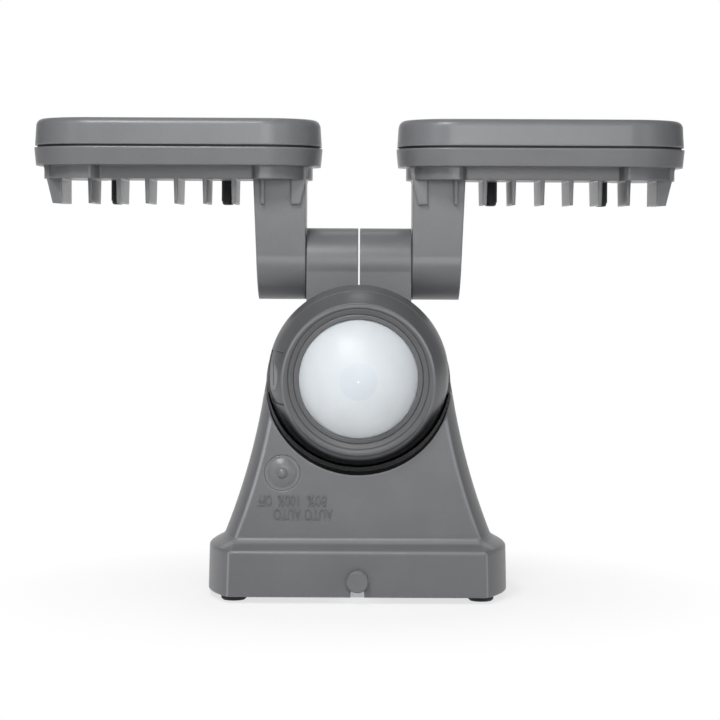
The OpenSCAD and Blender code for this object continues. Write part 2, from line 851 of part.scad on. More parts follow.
module pivot_frame() {
    color(plastic_grey) ball_frame() {
        difference() {
            union() {
                translate([0, 0, frame_a]) {
                    cylinder(r = frame_r, h = frame_t);
                    shell_boss_places() {
                        cylinder(d = boss_d, h = frame_t);
                        translate([frame_r - boss_circle_r - over, -frame_link_w / 2, 0])
                            cube([boss_circle_r - frame_r + over, frame_link_w, frame_t]);
                    }
                    for (a = boss_angles) rotate(a + 60) translate([post_circle_r, 0, 0])
                        cylinder(d = post_d, h = sensor_board_a - frame_a);
                }
                for (s = [-1, 1]) translate([s * (ear_in + ear_t / 2), 0, 0]) {
                    translate([-ear_t / 2, -ear_block_w / 2, 0])
                        cube([ear_t, ear_block_w, frame_a + frame_t / 2]);
                    rotate([0, 90, 0]) cylinder(d = ear_w, h = ear_t, center = true);
                }
            }
            translate([0, 0, frame_a - over]) cylinder(r = frame_hole_r, h = ear_notch);
            translate([0, 0, frame_a - over]) shell_boss_places()
                cylinder(d = shell_screw_d + 2 * slide_gap, h = frame_t + 2 * over);
            rotate([0, 90, 0]) cylinder(d = pin_d + 2 * running_gap, h = 2 * frame_r, center = true);
        }
    }
}

module shell_screws() {
    color("silver") ball_frame() shell_boss_places() translate([0, 0, shell_screw_head_a])
        screw(shell_screw_d - 2 * running_gap, shell_screw_end_a - shell_screw_head_a,
            shell_screw_head_d, shell_screw_head_h);
}

module sensor_lens() {
    dome_ball = (lens_r * lens_r + lens_h * lens_h) / (2 * lens_h);
    dome_a = lens_seat_a + lens_h - dome_ball;
    color("#e4eaee") ball_frame() rotate_extrude() {
        difference() {
            intersection() {
                translate([0, dome_a]) circle(r = dome_ball, $fn = 180);
                translate([0, lens_seat_a]) square([lens_r + over, lens_h + over]);
            }
            translate([0, dome_a]) circle(r = dome_ball - lens_t, $fn = 180);
        }
        translate([lens_r - lens_ledge - lens_flange_in, flange_back_a])
            square([lens_flange_w + lens_ledge + lens_flange_in, lens_flange_t]);
    }
}

module lens_ring() {
    inner = lens_r + running_gap;
    outer = lens_r + lens_flange_w;
    color(plastic_grey) ball_frame() rotate_extrude()
        polygon([[inner, lens_seat_a], [outer, lens_seat_a], [outer, lens_seat_a + ring_rise - ring_edge],
            [outer - ring_edge, lens_seat_a + ring_rise], [inner + ring_edge, lens_seat_a + ring_rise],
            [inner, lens_seat_a + ring_rise - ring_edge]]);
}

module sensor_board() {
    color(board_green) ball_frame() translate([0, 0, sensor_board_a]) difference() {
        cylinder(r = sensor_board_r, h = board_t);
        translate([0, -sensor_board_r, -over]) cylinder(d = lead_notch_d, h = board_t + 2 * over);
    }
}

module infrared_detector() {
    color("silver") ball_frame() translate([0, 0, sensor_board_a + board_t]) {
        cylinder(d = detector_d + 2 * detector_brim, h = detector_brim);
        cylinder(d = detector_d, h = detector_h);
    }
}

module sensor_stem() {
    reach = stem_boss_y + ball_y;
    color(plastic_grey) at_skirt() at_ball() rotate([90, 0, 0]) difference() {
        union() {
            translate([0, 0, -reach - stem_flange_t]) {
                cylinder(d = stem_d, h = reach + stem_flange_t - fork_back);
                cylinder(d = stem_flange_d, h = stem_flange_t);
            }
            translate([-fork_w / 2, -fork_in - fork_t, -fork_back - fork_web])
                cube([fork_w, 2 * (fork_in + fork_t), fork_web]);
            for (s = [-1, 1]) translate([0, s * (fork_in + fork_t / 2), 0]) {
                translate([-fork_block_w / 2, -fork_t / 2, -fork_back - fork_web / 2])
                    cube([fork_block_w, fork_t, fork_back + fork_web / 2]);
                rotate([90, 0, 0]) cylinder(d = fork_w, h = fork_t, center = true);
            }
        }
        translate([0, 0, -reach - stem_flange_t - over]) cylinder(d = stem_bore_d, h = reach);
        rotate([90, 0, 0]) cylinder(d = pin_d + 2 * running_gap, h = 2 * frame_r, center = true);
    }
}

module swivel_cross() {
    color("dimgray") at_skirt() at_ball() rotate([90, 0, 0]) {
        rotate([0, 90, 0]) {
            cylinder(d = pin_d, h = 2 * (ear_in + ear_t), center = true);
            cylinder(d = cross_d, h = 2 * (ear_in - pin_rest), center = true);
        }
        rotate([90, 0, 0]) {
            cylinder(d = pin_d, h = 2 * (fork_in + fork_t), center = true);
            cylinder(d = cross_d, h = 2 * (fork_in - pin_rest), center = true);
        }
    }
}

module dial_panel() {
    color(plastic_grey) dial_frame() difference() {
        intersection() {
            translate([-panel_half_w, -panel_half_h, panel_base_l])
                cube([2 * panel_half_w, 2 * panel_half_h, ball_r]);
            sphere(r = ball_r - panel_drop, $fn = 180);
        }
        translate([0, 0, panel_base_l + cup_floor_t]) cylinder(d = dial_d + 2 * slide_gap, h = ball_r);
        translate([0, 0, panel_base_l - over]) cylinder(d = dial_shaft_d + 2 * slide_gap, h = ball_r);
    }
}

module timer_dial() {
    foot = panel_base_l + cup_floor_t + slide_gap;
    face = ball_r - dial_sink;
    color("#5e5f62") dial_frame() difference() {
        union() {
            translate([0, 0, foot]) cylinder(d = dial_d, h = face - foot - dial_edge);
            translate([0, 0, face - dial_edge])
                cylinder(d1 = dial_d, d2 = dial_d - 2 * dial_edge, h = dial_edge);
            translate([0, 0, panel_base_l - pot_h / 2]) cylinder(d = dial_shaft_d, h = pot_h);
        }
        translate([-dial_slot_w / 2, -dial_d / 2, face - dial_slot_h])
            cube([dial_slot_w, dial_d * dial_slot_share, dial_slot_h + over]);
    }
}

module timer_pot() {
    color("#3a4a5a") dial_frame() translate([0, 0, panel_base_l - pot_h]) difference() {
        cylinder(d = pot_d, h = pot_h);
        translate([0, 0, pot_h / 2 - slide_gap]) cylinder(d = dial_shaft_d + 2 * running_gap, h = pot_h);
    }
}

// Rounded rectangle seen from above
module pill(l, w, r) {
    square([l, w - 2 * r], center = true);
    square([l - 2 * r, w], center = true);
    for (x = [-1, 1], y = [-1, 1]) translate([x * (l / 2 - r), y * (w / 2 - r)]) circle(r = r);
}

// Pill of the head's outline, drawn in by an inset
module head_pill(inset) {
    pill(head_l - 2 * inset, head_w - 2 * inset, head_corner - inset);
}

// Sweeps a section round the head's outline: the section's x leads outward from that outline
module head_rim() {
    for (k = [0 : 3]) {
        reach = (k % 2 == 0 ? head_l : head_w) / 2;
        half = (k % 2 == 0 ? head_w : head_l) / 2 - head_corner;
        rotate(90 * k) {
            translate([reach, half, 0]) rotate([90, 0, 0]) linear_extrude(height = 2 * half) children();
            translate([reach - head_corner, half, 0]) rotate_extrude(angle = 90)
                translate([head_corner, 0]) children();
        }
    }
}

// Frame of a head: x leads outward from the tower, z is the height above the skirt edge
module head_frame(side) {
    at_skirt() mirror([side == LEFT ? 1 : 0, 0, 0]) translate([head_x, pivot_y, 0]) children();
}

// Same side, with x measured from the middle of the light
module side_frame(side) {
    at_skirt() mirror([side == LEFT ? 1 : 0, 0, 0]) translate([0, pivot_y, 0]) children();
}

module sleeve_places() {
    for (s = [-1, 1])
        translate([s * post_fin * fin_pitch + fin_top_t / 2 + post_gap + sleeve_d / 2, sleeve_y, 0]) children();
}

// Plan of the plinth, with the long shallow recess on both of its long sides
module plinth_plan() {
    edge = head_w / 2 - plinth_inset;
    difference() {
        head_pill(plinth_inset);
        for (s = [-1, 1]) scale([1, s]) polygon([[-recess_half_l - recess_chamfer, -edge - over],
            [-recess_half_l - recess_chamfer, -edge], [-recess_half_l, -edge + recess_chamfer],
            [-recess_half_l + recess_chamfer, -edge + recess_depth],
            [recess_half_l - recess_chamfer, -edge + recess_depth],
            [recess_half_l, -edge + recess_chamfer], [recess_half_l + recess_chamfer, -edge],
            [recess_half_l + recess_chamfer, -edge - over]]);
    }
}

// A drafted fin along the head's depth
module fin(half_l) {
    root = fin_h + over;
    translate([0, half_l, plinth_z + over]) rotate([90, 0, 0]) linear_extrude(height = 2 * half_l)
        polygon([[-fin_top_t / 2, 0], [-fin_tip_t / 2, -root], [fin_tip_t / 2, -root], [fin_top_t / 2, 0]]);
}

// The broad slanted fin at an end of the head, drawn at the outer end
module wedge_fin() {
    root = fin_h + plinth_h;
    translate([0, wedge_half_l, flange_z]) rotate([90, 0, 0]) linear_extrude(height = 2 * wedge_half_l)
        polygon([[wedge_in, floor_t], [wedge_in, -root], [wedge_in + wedge_tip_w, -root],
            [wedge_in + wedge_top_w, 0], [wedge_in + wedge_top_w, floor_t]]);
}

// The arm, in the side frame, with the spigot that turns in the knuckle
module arm() {
    reach = arm_rise + plinth_h / 2;
    half = knuckle_r * neck_half_share;
    side_slope = (arm_top_w - arm_w) / arm_rise;
    intersection() {
        translate([arm_in, 0, pivot_z]) rotate([90, 0, 90]) linear_extrude(height = 2 * arm_w) {
            circle(r = knuckle_r);
            translate([-half, 0]) square([2 * half, reach]);
        }
        translate([0, head_w, pivot_z]) rotate([90, 0, 0]) linear_extrude(height = 2 * head_w)
            polygon([[arm_in, -knuckle_d], [arm_in + arm_w - knuckle_d * side_slope, -knuckle_d],
                [arm_in + arm_w + reach * side_slope, reach], [arm_in, reach]]);
    }
    translate([0, 0, pivot_z]) rotate([0, 90, 0]) {
        translate([0, 0, pocket_x]) cylinder(d = spigot_d, h = spigot_l + over);
        translate([0, 0, pocket_x - thread_l]) cylinder(d = thread_d, h = thread_l + over);
    }
}

module head_housing(side) {
    color(plastic_grey) difference() {
        union() {
            head_frame(side) {
                translate([0, 0, flange_z]) {
                    head_rim() polygon([[-ledge_w, 0], [-flange_draft, 0], [0, flange_h], [-wall, flange_h],
                        [-wall, floor_t], [-ledge_w, floor_t]]);
                    linear_extrude(height = floor_t) head_pill(ledge_w - over);
                }
                translate([0, 0, plinth_z]) linear_extrude(height = plinth_h + floor_t / 2) plinth_plan();
                for (i = [0 : fin_count - 1]) translate([(i - (fin_count - 1) / 2) * fin_pitch, 0, 0])
                    fin(i == 0 || i == fin_count - 1 ? end_fin_half_l : fin_half_l);
                wedge_fin();
                mirror([1, 0, 0]) wedge_fin();
            }
            side_frame(side) arm();
        }
        head_frame(side) sleeve_places() translate([0, 0, plinth_z - over])
            cylinder(d = head_screw_d + 2 * seat_gap, h = plinth_h + floor_t + 2 * over);
        side_frame(side) {
            translate([pocket_x - thread_l - over, 0, pivot_z]) rotate([0, 90, 0])
                cylinder(d = spigot_bore_d, h = spigot_l + thread_l + over + arm_w / 2);
            translate([arm_in + arm_w / 2, 0, pivot_z])
                cylinder(d = spigot_bore_d, h = arm_rise + plinth_h + floor_t + over);
        }
    }
}

module bezel(side) {
    crown = bezel_h - bezel_round;
    side_x = -bezel_inset - bezel_draft;
    color(plastic_grey) head_frame(side) translate([0, 0, bezel_z]) difference() {
        union() {
            head_rim() difference() {
                polygon([[-bezel_inset - wall, 0], [-bezel_inset, 0], [side_x, crown], [side_x, bezel_h],
                    [-rim_w, bezel_h], [-rim_w, bezel_h - lip_t], [-bezel_inset - wall, bezel_h - lip_t]]);
                difference() {
                    translate([side_x - bezel_round, crown]) square([bezel_round + over, bezel_round + over]);
                    translate([side_x - bezel_round, crown]) circle(r = bezel_round);
                }
            }
            sleeve_places() cylinder(d = sleeve_d, h = bezel_h - lip_t / 2);
        }
        sleeve_places() translate([0, 0, -over]) cylinder(d = head_screw_d, h = bezel_h - lip_t);
    }
}

module lamp_cover(side) {
    color("#dfe9f2", 0.5) head_frame(side) translate([0, 0, head_top_z - lip_t - lamp_cover_t])
        linear_extrude(height = lamp_cover_t) head_pill(rim_w - lamp_cover_lap);
}

module gasket(side) {
    color(rubber_black) head_frame(side) translate([0, 0, seam_z])
        head_rim() polygon([[-gasket_inset - gasket_w, 0], [-gasket_inset, 0], [-gasket_inset, seam_h],
            [-gasket_inset - gasket_w, seam_h]]);
}

module reflector(side) {
    rise = head_top_z - lip_t - lamp_cover_t - flange_z - floor_t - board_t;
    outer = rim_w - lamp_cover_lap + seat_gap;
    color("whitesmoke") head_frame(side) translate([0, 0, flange_z + floor_t + board_t]) {
        head_rim() polygon([[-outer, rise], [-outer - reflector_slope, reflector_wall],
            [-outer - reflector_slope, 0], [-outer - reflector_slope - 2 * reflector_wall, 0],
            [-outer - reflector_slope - 2 * reflector_wall, reflector_wall],
            [-outer - reflector_slope - reflector_wall, reflector_wall],
            [-outer - reflector_wall, rise]]);
    }
}

module led_board(side) {
    color("whitesmoke") head_frame(side) translate([-led_board_l / 2, -led_board_w / 2, flange_z + floor_t])
        cube([led_board_l, led_board_w, board_t]);
}

module leds(side) {
    color("khaki") head_frame(side) translate([0, 0, flange_z + floor_t + board_t])
        for (i = [0 : led_columns - 1], j = [0 : led_rows - 1])
            translate([(i - (led_columns - 1) / 2) * led_pitch_x - led_side / 2,
                (j - (led_rows - 1) / 2) * led_pitch_y - led_side / 2, 0])
                cube([led_side, led_side, led_t]);
}

module head_screws(side) {
    foot = fin_z + head_screw_head_h;
    color("#2b2b2d") head_frame(side) sleeve_places() translate([0, 0, foot])
        screw(head_screw_d - 2 * running_gap, bezel_z + bezel_h - lip_t - 2 * over - foot,
            head_screw_head_d, head_screw_head_h);
}

module sleeves(side) {
    foot = fin_z + head_screw_head_h;
    color(rubber_black) head_frame(side) sleeve_places() translate([0, 0, foot]) difference() {
        cylinder(d = sleeve_d, h = flange_z - foot);
        translate([0, 0, -over]) cylinder(d = sleeve_bore_d, h = flange_z - foot + 2 * over);
    }
}

module pivot_nut(side) {
    color("silver") side_frame(side) translate([pocket_x - washer_t - nut_t, 0, pivot_z])
        rotate([0, 90, 0]) difference() {
            cylinder(d = nut_d, h = nut_t, $fn = nut_flats);
            translate([0, 0, -over]) cylinder(d = thread_d + 2 * running_gap, h = nut_t + 2 * over);
        }
}

module wave_washer(side) {
    color("silver") side_frame(side) translate([pocket_x - washer_t, 0, pivot_z])
        rotate([0, 90, 0]) difference() {
            cylinder(d = washer_d, h = washer_t);
            translate([0, 0, -over]) cylinder(d = thread_d + 2 * slide_gap, h = washer_t + 2 * over);
        }
}

module pivot_seal(side) {
    color(rubber_black) side_frame(side) translate([knuckle_out - seal_depth, 0, pivot_z])
        rotate([0, 90, 0]) difference() {
            cylinder(d = seal_d, h = seal_depth + arm_gap);
            translate([0, 0, -over]) cylinder(d = spigot_d + 2 * running_gap, h = seal_depth + arm_gap + 2 * over);
        }
}

housing();
back_cover();
cover_screws();
lead_grommet();
wall_bracket();
rubber_feet();
retaining_screw();
driver_board();
transformer();
capacitors();
terminal_block();
mode_button();
mode_switch();
switch_board();
sensor_stem();
swivel_cross();
ball_front_shell();
ball_rear_shell();
pivot_frame();
shell_screws();
sensor_lens();
lens_ring();
sensor_board();
infrared_detector();
dial_panel();
timer_dial();
timer_pot();
head_housing(LEFT);  // left_head_housing
bezel(LEFT);  // left_bezel
lamp_cover(LEFT);  // left_lamp_cover
gasket(LEFT);  // left_gasket
reflector(LEFT);  // left_reflector
led_board(LEFT);  // left_led_board
leds(LEFT);  // left_leds
head_screws(LEFT);  // left_head_screws
sleeves(LEFT);  // left_sleeves
pivot_nut(LEFT);  // left_pivot_nut
wave_washer(LEFT);  // left_wave_washer
pivot_seal(LEFT);  // left_pivot_seal
head_housing(RIGHT);  // right_head_housing
bezel(RIGHT);  // right_bezel
lamp_cover(RIGHT);  // right_lamp_cover
gasket(RIGHT);  // right_gasket
reflector(RIGHT);  // right_reflector
led_board(RIGHT);  // right_led_board
leds(RIGHT);  // right_leds
head_screws(RIGHT);  // right_head_screws
sleeves(RIGHT);  // right_sleeves
pivot_nut(RIGHT);  // right_pivot_nut
wave_washer(RIGHT);  // right_wave_washer
pivot_seal(RIGHT);  // right_pivot_seal
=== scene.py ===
"""Dressed model of a motion sensor security light with tilting lamp heads.

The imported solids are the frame: each keeps its place and gets its finish. Lettering, screws and
lamps are modelled in detail, and the studio is set round the light.
All lengths are in metres, +Z leads up from the mounting surface, and the sensor looks along -Y.
"""

from __future__ import annotations

import json
import logging
import math
from dataclasses import dataclass, field
from enum import Enum
from typing import Any, Sequence

import bmesh
import bpy
from mathutils import Matrix, Vector

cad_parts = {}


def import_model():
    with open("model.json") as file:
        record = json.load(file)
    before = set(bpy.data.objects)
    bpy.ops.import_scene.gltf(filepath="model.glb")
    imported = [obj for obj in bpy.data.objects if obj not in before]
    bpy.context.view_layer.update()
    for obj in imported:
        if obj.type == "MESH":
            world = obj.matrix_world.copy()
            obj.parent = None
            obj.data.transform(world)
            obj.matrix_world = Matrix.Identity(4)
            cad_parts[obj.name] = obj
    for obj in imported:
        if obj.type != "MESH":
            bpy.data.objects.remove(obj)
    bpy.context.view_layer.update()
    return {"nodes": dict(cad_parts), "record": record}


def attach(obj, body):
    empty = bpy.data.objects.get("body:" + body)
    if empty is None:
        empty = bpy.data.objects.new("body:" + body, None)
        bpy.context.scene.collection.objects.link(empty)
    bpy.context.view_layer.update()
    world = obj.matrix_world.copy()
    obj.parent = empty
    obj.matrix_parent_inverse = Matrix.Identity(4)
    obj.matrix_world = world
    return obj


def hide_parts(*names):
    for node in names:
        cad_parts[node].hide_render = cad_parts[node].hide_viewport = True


log = logging.getLogger("security_light")

MM = 0.001
# Height of the rubber feet, and of the middle of the window that the ball looks out of
FOOT_H = 2.6 * MM
WINDOW_Z = 83.4 * MM + FOOT_H
# Points closer together than this become one
MERGE = 0.001 * MM
# The plastic's grey, and the near black of the painted shade round the window and below the ball's
# face
GREY = (0.125, 0.127, 0.134)
DEEP_SHADE = (0.012, 0.012, 0.013)


class Side(Enum):
    """Side of the light that a lamp head stands on."""

    LEFT = -1
    RIGHT = 1

    @property
    def prefix(self) -> str:
        """Start of the names of this side's pieces."""
        return self.name.lower()


class Recess(Enum):
    """Kind of recess in the head of a fastener."""

    CROSS = "cross"
    HEX = "hex"


@dataclass(frozen=True)
class LeaningFace:
    """The flat front of the tower, which leans back as it rises."""

    y: float = -23.6 * MM
    foot_z: float = 26.0 * MM + FOOT_H
    lean: float = math.radians(4.6)

    def depth(self, height: Any) -> Any:
        """Y of the face at a height, for a number or a signal."""
        return (height - self.foot_z) * math.tan(self.lean) + self.y

    def normal(self) -> Vector:
        """Direction out of the face."""
        return Vector((0, -math.cos(self.lean), math.sin(self.lean)))

    def uphill(self) -> Vector:
        """Direction up along the face."""
        return Vector((0, math.sin(self.lean), math.cos(self.lean)))


# Shader graph


@dataclass(frozen=True)
class Signal:
    """A number, colour or vector on its way through a material's nodes."""

    graph: Graph
    socket: bpy.types.NodeSocket

    def _maths(self, operation: str, *others: Signal | float, first: bool = True) -> Signal:
        """Feeds this signal and others into one Math node.

        Args:
            operation: The Math node's operation.
            others: The node's other inputs.
            first: Whether this signal is the first input.

        Returns:
            The node's result.
        """
        values = [self, *others] if first else [*others, self]
        return self.graph.node(
            "ShaderNodeMath", {"operation": operation}, dict(enumerate(values))
        )

    def __add__(self, other: Signal | float) -> Signal:
        """Sum."""
        return self._maths("ADD", other)

    def __mul__(self, other: Signal | float) -> Signal:
        """Product."""
        return self._maths("MULTIPLY", other)

    def __sub__(self, other: Signal | float) -> Signal:
        """Difference."""
        return self._maths("SUBTRACT", other)

    def __rsub__(self, other: float) -> Signal:
        """Difference, this signal last."""
        return self._maths("SUBTRACT", other, first=False)

    def __truediv__(self, other: Signal | float) -> Signal:
        """Quotient."""
        return self._maths("DIVIDE", other)

    def __gt__(self, other: Signal | float) -> Signal:
        """1 where this signal is the greater, else 0."""
        return self._maths("GREATER_THAN", other)

    def __lt__(self, other: Signal | float) -> Signal:
        """1 where this signal is the smaller, else 0."""
        return self._maths("LESS_THAN", other)

    def __abs__(self) -> Signal:
        """Absolute value."""
        return self._maths("ABSOLUTE")

    def fract(self) -> Signal:
        """Fraction part."""
        return self._maths("FRACT")

    def maximum(self, other: Signal) -> Signal:
        """The greater of two signals."""
        return self._maths("MAXIMUM", other)

    def part(self, axis: str) -> Signal:
        """The X, Y or Z part of a vector."""
        return self.graph.node("ShaderNodeSeparateXYZ", {}, {0: self}, output=axis)

    def ramp(self, low: float, high: float, to_low: float = 0.0, to_high: float = 1.0) -> Signal:
        """Maps a range of values to another, held at its ends.

        Args:
            low: Value that gives to_low.
            high: Value that gives to_high.
            to_low: Result at low.
            to_high: Result at high.

        Returns:
            The mapped signal.
        """
        return self.graph.node(
            "ShaderNodeMapRange",
            {"clamp": True},
            {"Value": self, "From Min": low, "From Max": high, "To Min": to_low, "To Max": to_high},
        )


class Graph:
    """Nodes of one tree."""

    def __init__(self, tree: bpy.types.NodeTree, output: str) -> None:
        """Starts with the output node alone.

        Args:
            tree: The node tree of a material or a world.
            output: The output node's type.
        """
        self.tree = tree
        self.tree.nodes.clear()
        self.output = self.tree.nodes.new(output)
        self._place: Signal | None = None

    def fill(self, socket: bpy.types.NodeSocket, value: Any) -> None:
        """Links a signal to a socket, or sets the socket to a value.

        Args:
            socket: The socket.
            value: A signal, a number, a vector or a colour without alpha.
        """
        if isinstance(value, Signal):
            self.tree.links.new(value.socket, socket)
        elif socket.type == "RGBA":
            socket.default_value = (*value, 1.0)
        else:
            socket.default_value = value

    def node(
        self,
        kind: str,
        settings: dict[str, Any] | None = None,
        inputs: dict[str | int, Any] | None = None,
        output: str | int = 0,
    ) -> Signal:
        """Adds a node, sets it, then fills its sockets.

        Args:
            kind: The node's type.
            settings: Its own settings.
            inputs: A value or a signal for each named or numbered socket.
            output: The socket that is returned.

        Returns:
            The chosen output.
        """
        made = self.tree.nodes.new(kind)
        for key, value in (settings or {}).items():
            setattr(made, key, value)
        for key, value in (inputs or {}).items():
            self.fill(made.inputs[key], value)
        return Signal(self, made.outputs[output])

    def show(self, shader: Signal) -> None:
        """Leads a shader to the output node."""
        self.tree.links.new(shader.socket, self.output.inputs["Surface"])

    def light_path(self, ray: str) -> Signal:
        """1 for rays of a kind, such as Camera, else 0."""
        return self.node("ShaderNodeLightPath", output=f"Is {ray} Ray")

    def place(self) -> Signal:
        """Object coordinates, which here are the light's own frame in metres."""
        if self._place is None:
            self._place = self.node("ShaderNodeTexCoord", output="Object")
        return self._place

    def true_normal(self) -> Signal:
        """Direction in which the bare faces look."""
        return self.node("ShaderNodeNewGeometry", output="True Normal")

    def noise(self, size: float, detail: float = 2.0, roughness: float = 0.5) -> Signal:
        """Noise over the surface.

        Args:
            size: Length of one blotch in metres.
            detail: Octaves.
            roughness: Weight of the finer octaves.

        Returns:
            A value round 0.5.
        """
        return self.node(
            "ShaderNodeTexNoise",
            {"noise_dimensions": "3D"},
            {"Vector": self.place(), "Scale": 1.0 / size, "Detail": detail, "Roughness": roughness},
        )

    def cells(self, size: float, feature: str = "F1", randomness: float = 1.0) -> Signal:
        """Distance field of scattered cells.

        Args:
            size: Length of one cell in metres.
            feature: Which distance is measured.
            randomness: How irregular the cells are.

        Returns:
            The distance in cell sizes.
        """
        return self.node(
            "ShaderNodeTexVoronoi",
            {"feature": feature},
            {"Vector": self.place(), "Scale": 1.0 / size, "Randomness": randomness},
            output="Distance",
        )

    def axis_parts(self, centre: Vector, axis: Vector) -> tuple[Signal, Signal]:
        """Depth along an axis and distance from it.

        Args:
            centre: A point on the axis.
            axis: Its direction.

        Returns:
            Depth and distance, in metres.
        """
        away = self.node(
            "ShaderNodeVectorMath",
            {"operation": "SUBTRACT"},
            {0: self.place(), 1: tuple(centre)},
        )
        depth = self.node(
            "ShaderNodeVectorMath",
            {"operation": "DOT_PRODUCT"},
            {0: away, 1: tuple(axis.normalized())},
            output="Value",
        )
        cross = self.node(
            "ShaderNodeVectorMath",
            {"operation": "CROSS_PRODUCT"},
            {0: away, 1: tuple(axis.normalized())},
        )
        distance = self.node(
            "ShaderNodeVectorMath", {"operation": "LENGTH"}, {0: cross}, output="Value"
        )
        return depth, distance

    def blend(self, factor: Signal | float, low: Any, high: Any) -> Signal:
        """Mix of two colours.

        Args:
            factor: 0 for low, 1 for high.
            low: Colour or signal.
            high: Colour or signal.

        Returns:
            The mixed colour.
        """
        return self.node(
            "ShaderNodeMix", {"data_type": "RGBA"}, {0: factor, 6: low, 7: high}, output=2
        )

    def soft_edges(self, radius: float) -> Signal:
        """Normal that rounds every sharp edge by a radius."""
        return self.node("ShaderNodeBevel", {"samples": 6}, {"Radius": radius})

    def edge_mask(self, rounded: Signal) -> Signal:
        """1 along the edges that a rounded normal softens, 0 on open faces."""
        alike = self.node(
            "ShaderNodeVectorMath",
            {"operation": "DOT_PRODUCT"},
            {0: rounded, 1: self.true_normal()},
            output="Value",
        )
        return (1.0 - alike).ramp(0.003, 0.06)

    def bump(self, height: Signal, depth: float, normal: Signal | None = None) -> Signal:
        """Normal of a surface with relief.

        Args:
            height: Relief between 0 and 1.
            depth: Its depth in metres.
            normal: Normal that the relief is laid over.

        Returns:
            The new normal.
        """
        inputs: dict[str | int, Any] = {"Height": height, "Distance": depth, "Strength": 1.0}
        if normal is not None:
            inputs["Normal"] = normal
        return self.node("ShaderNodeBump", {}, inputs)


class Surface(Graph):
    """Nodes of one material, behind its Principled shader."""

    def __init__(self, name: str) -> None:
        """Starts a material with its shader.

        Args:
            name: The material's name.
        """
        self.material = bpy.data.materials.new(name)
        self.material.use_nodes = True
        super().__init__(self.material.node_tree, "ShaderNodeOutputMaterial")
        self.shader = self.tree.nodes.new("ShaderNodeBsdfPrincipled")
        self.show(self.body())

    def body(self) -> Signal:
        """The Principled shader's result."""
        return Signal(self, self.shader.outputs["BSDF"])

    def feed(self, **sockets: Any) -> None:
        """Fills the Principled shader's sockets, named with underscores for blanks."""
        for key, value in sockets.items():
            self.fill(self.shader.inputs[key.replace("_", " ")], value)


# Finishes


@dataclass(frozen=True)
class MouldedPlastic:
    """Spark-textured moulded plastic, with a painted highlight along its edges."""

    name: str
    colour: tuple[float, float, float]
    roughness: float = 0.38
    edge: float = 1.1 * MM
    edge_highlight: float = 0.6
    mottle: float = 0.08
    grain: float = 0.42 * MM
    grain_depth: float = 0.035 * MM
    cloud: float = 18 * MM
    sink_mark: float = 55 * MM

    def tone(self, share: float) -> tuple[float, ...]:
        """The plastic's colour times a share, held below white."""
        return tuple(min(1.0, c * share) for c in self.colour)

    def build(self) -> bpy.types.Material:
        """Makes the material."""
        graph = Surface(self.name)
        rounded = graph.soft_edges(self.edge)
        edges = graph.edge_mask(rounded)
        fine = graph.noise(self.grain, 3.0, 0.6)
        pits = graph.cells(self.grain * 1.7)
        clouds = graph.noise(self.cloud, 3.0, 0.55)
        sink = graph.noise(self.sink_mark, 1.0, 0.4)
        body = graph.blend(
            (clouds * 0.6 + fine * 0.4).ramp(0.3, 0.7),
            self.tone(1 - self.mottle),
            self.tone(1 + self.mottle),
        )
        body, relief = self.detail(graph, body, fine * 0.6 + pits * 0.4)
        # Painted highlight: along the rounded edges the colour is lifted towards a lighter tone.
        painted_edge_highlight = tuple(min(1.0, c + 0.004) for c in self.tone(1 + self.edge_highlight))
        graph.feed(
            Base_Color=graph.blend(edges * 0.7, body, painted_edge_highlight),
            Roughness=(clouds - 0.5) * 0.1 + (sink - 0.5) * 0.08 + self.roughness - edges * 0.08,
            Normal=graph.bump(relief, self.grain_depth, rounded),
            Specular_IOR_Level=0.45,
        )
        return graph.material

    def detail(self, graph: Surface, body: Signal, relief: Signal) -> tuple[Signal, Signal]:
        """Changes colour and relief in some places; here nowhere.

        Args:
            graph: The material's nodes.
            body: The colour so far.
            relief: The relief so far.

        Returns:
            The colour and the relief that are used.
        """
        return body, relief


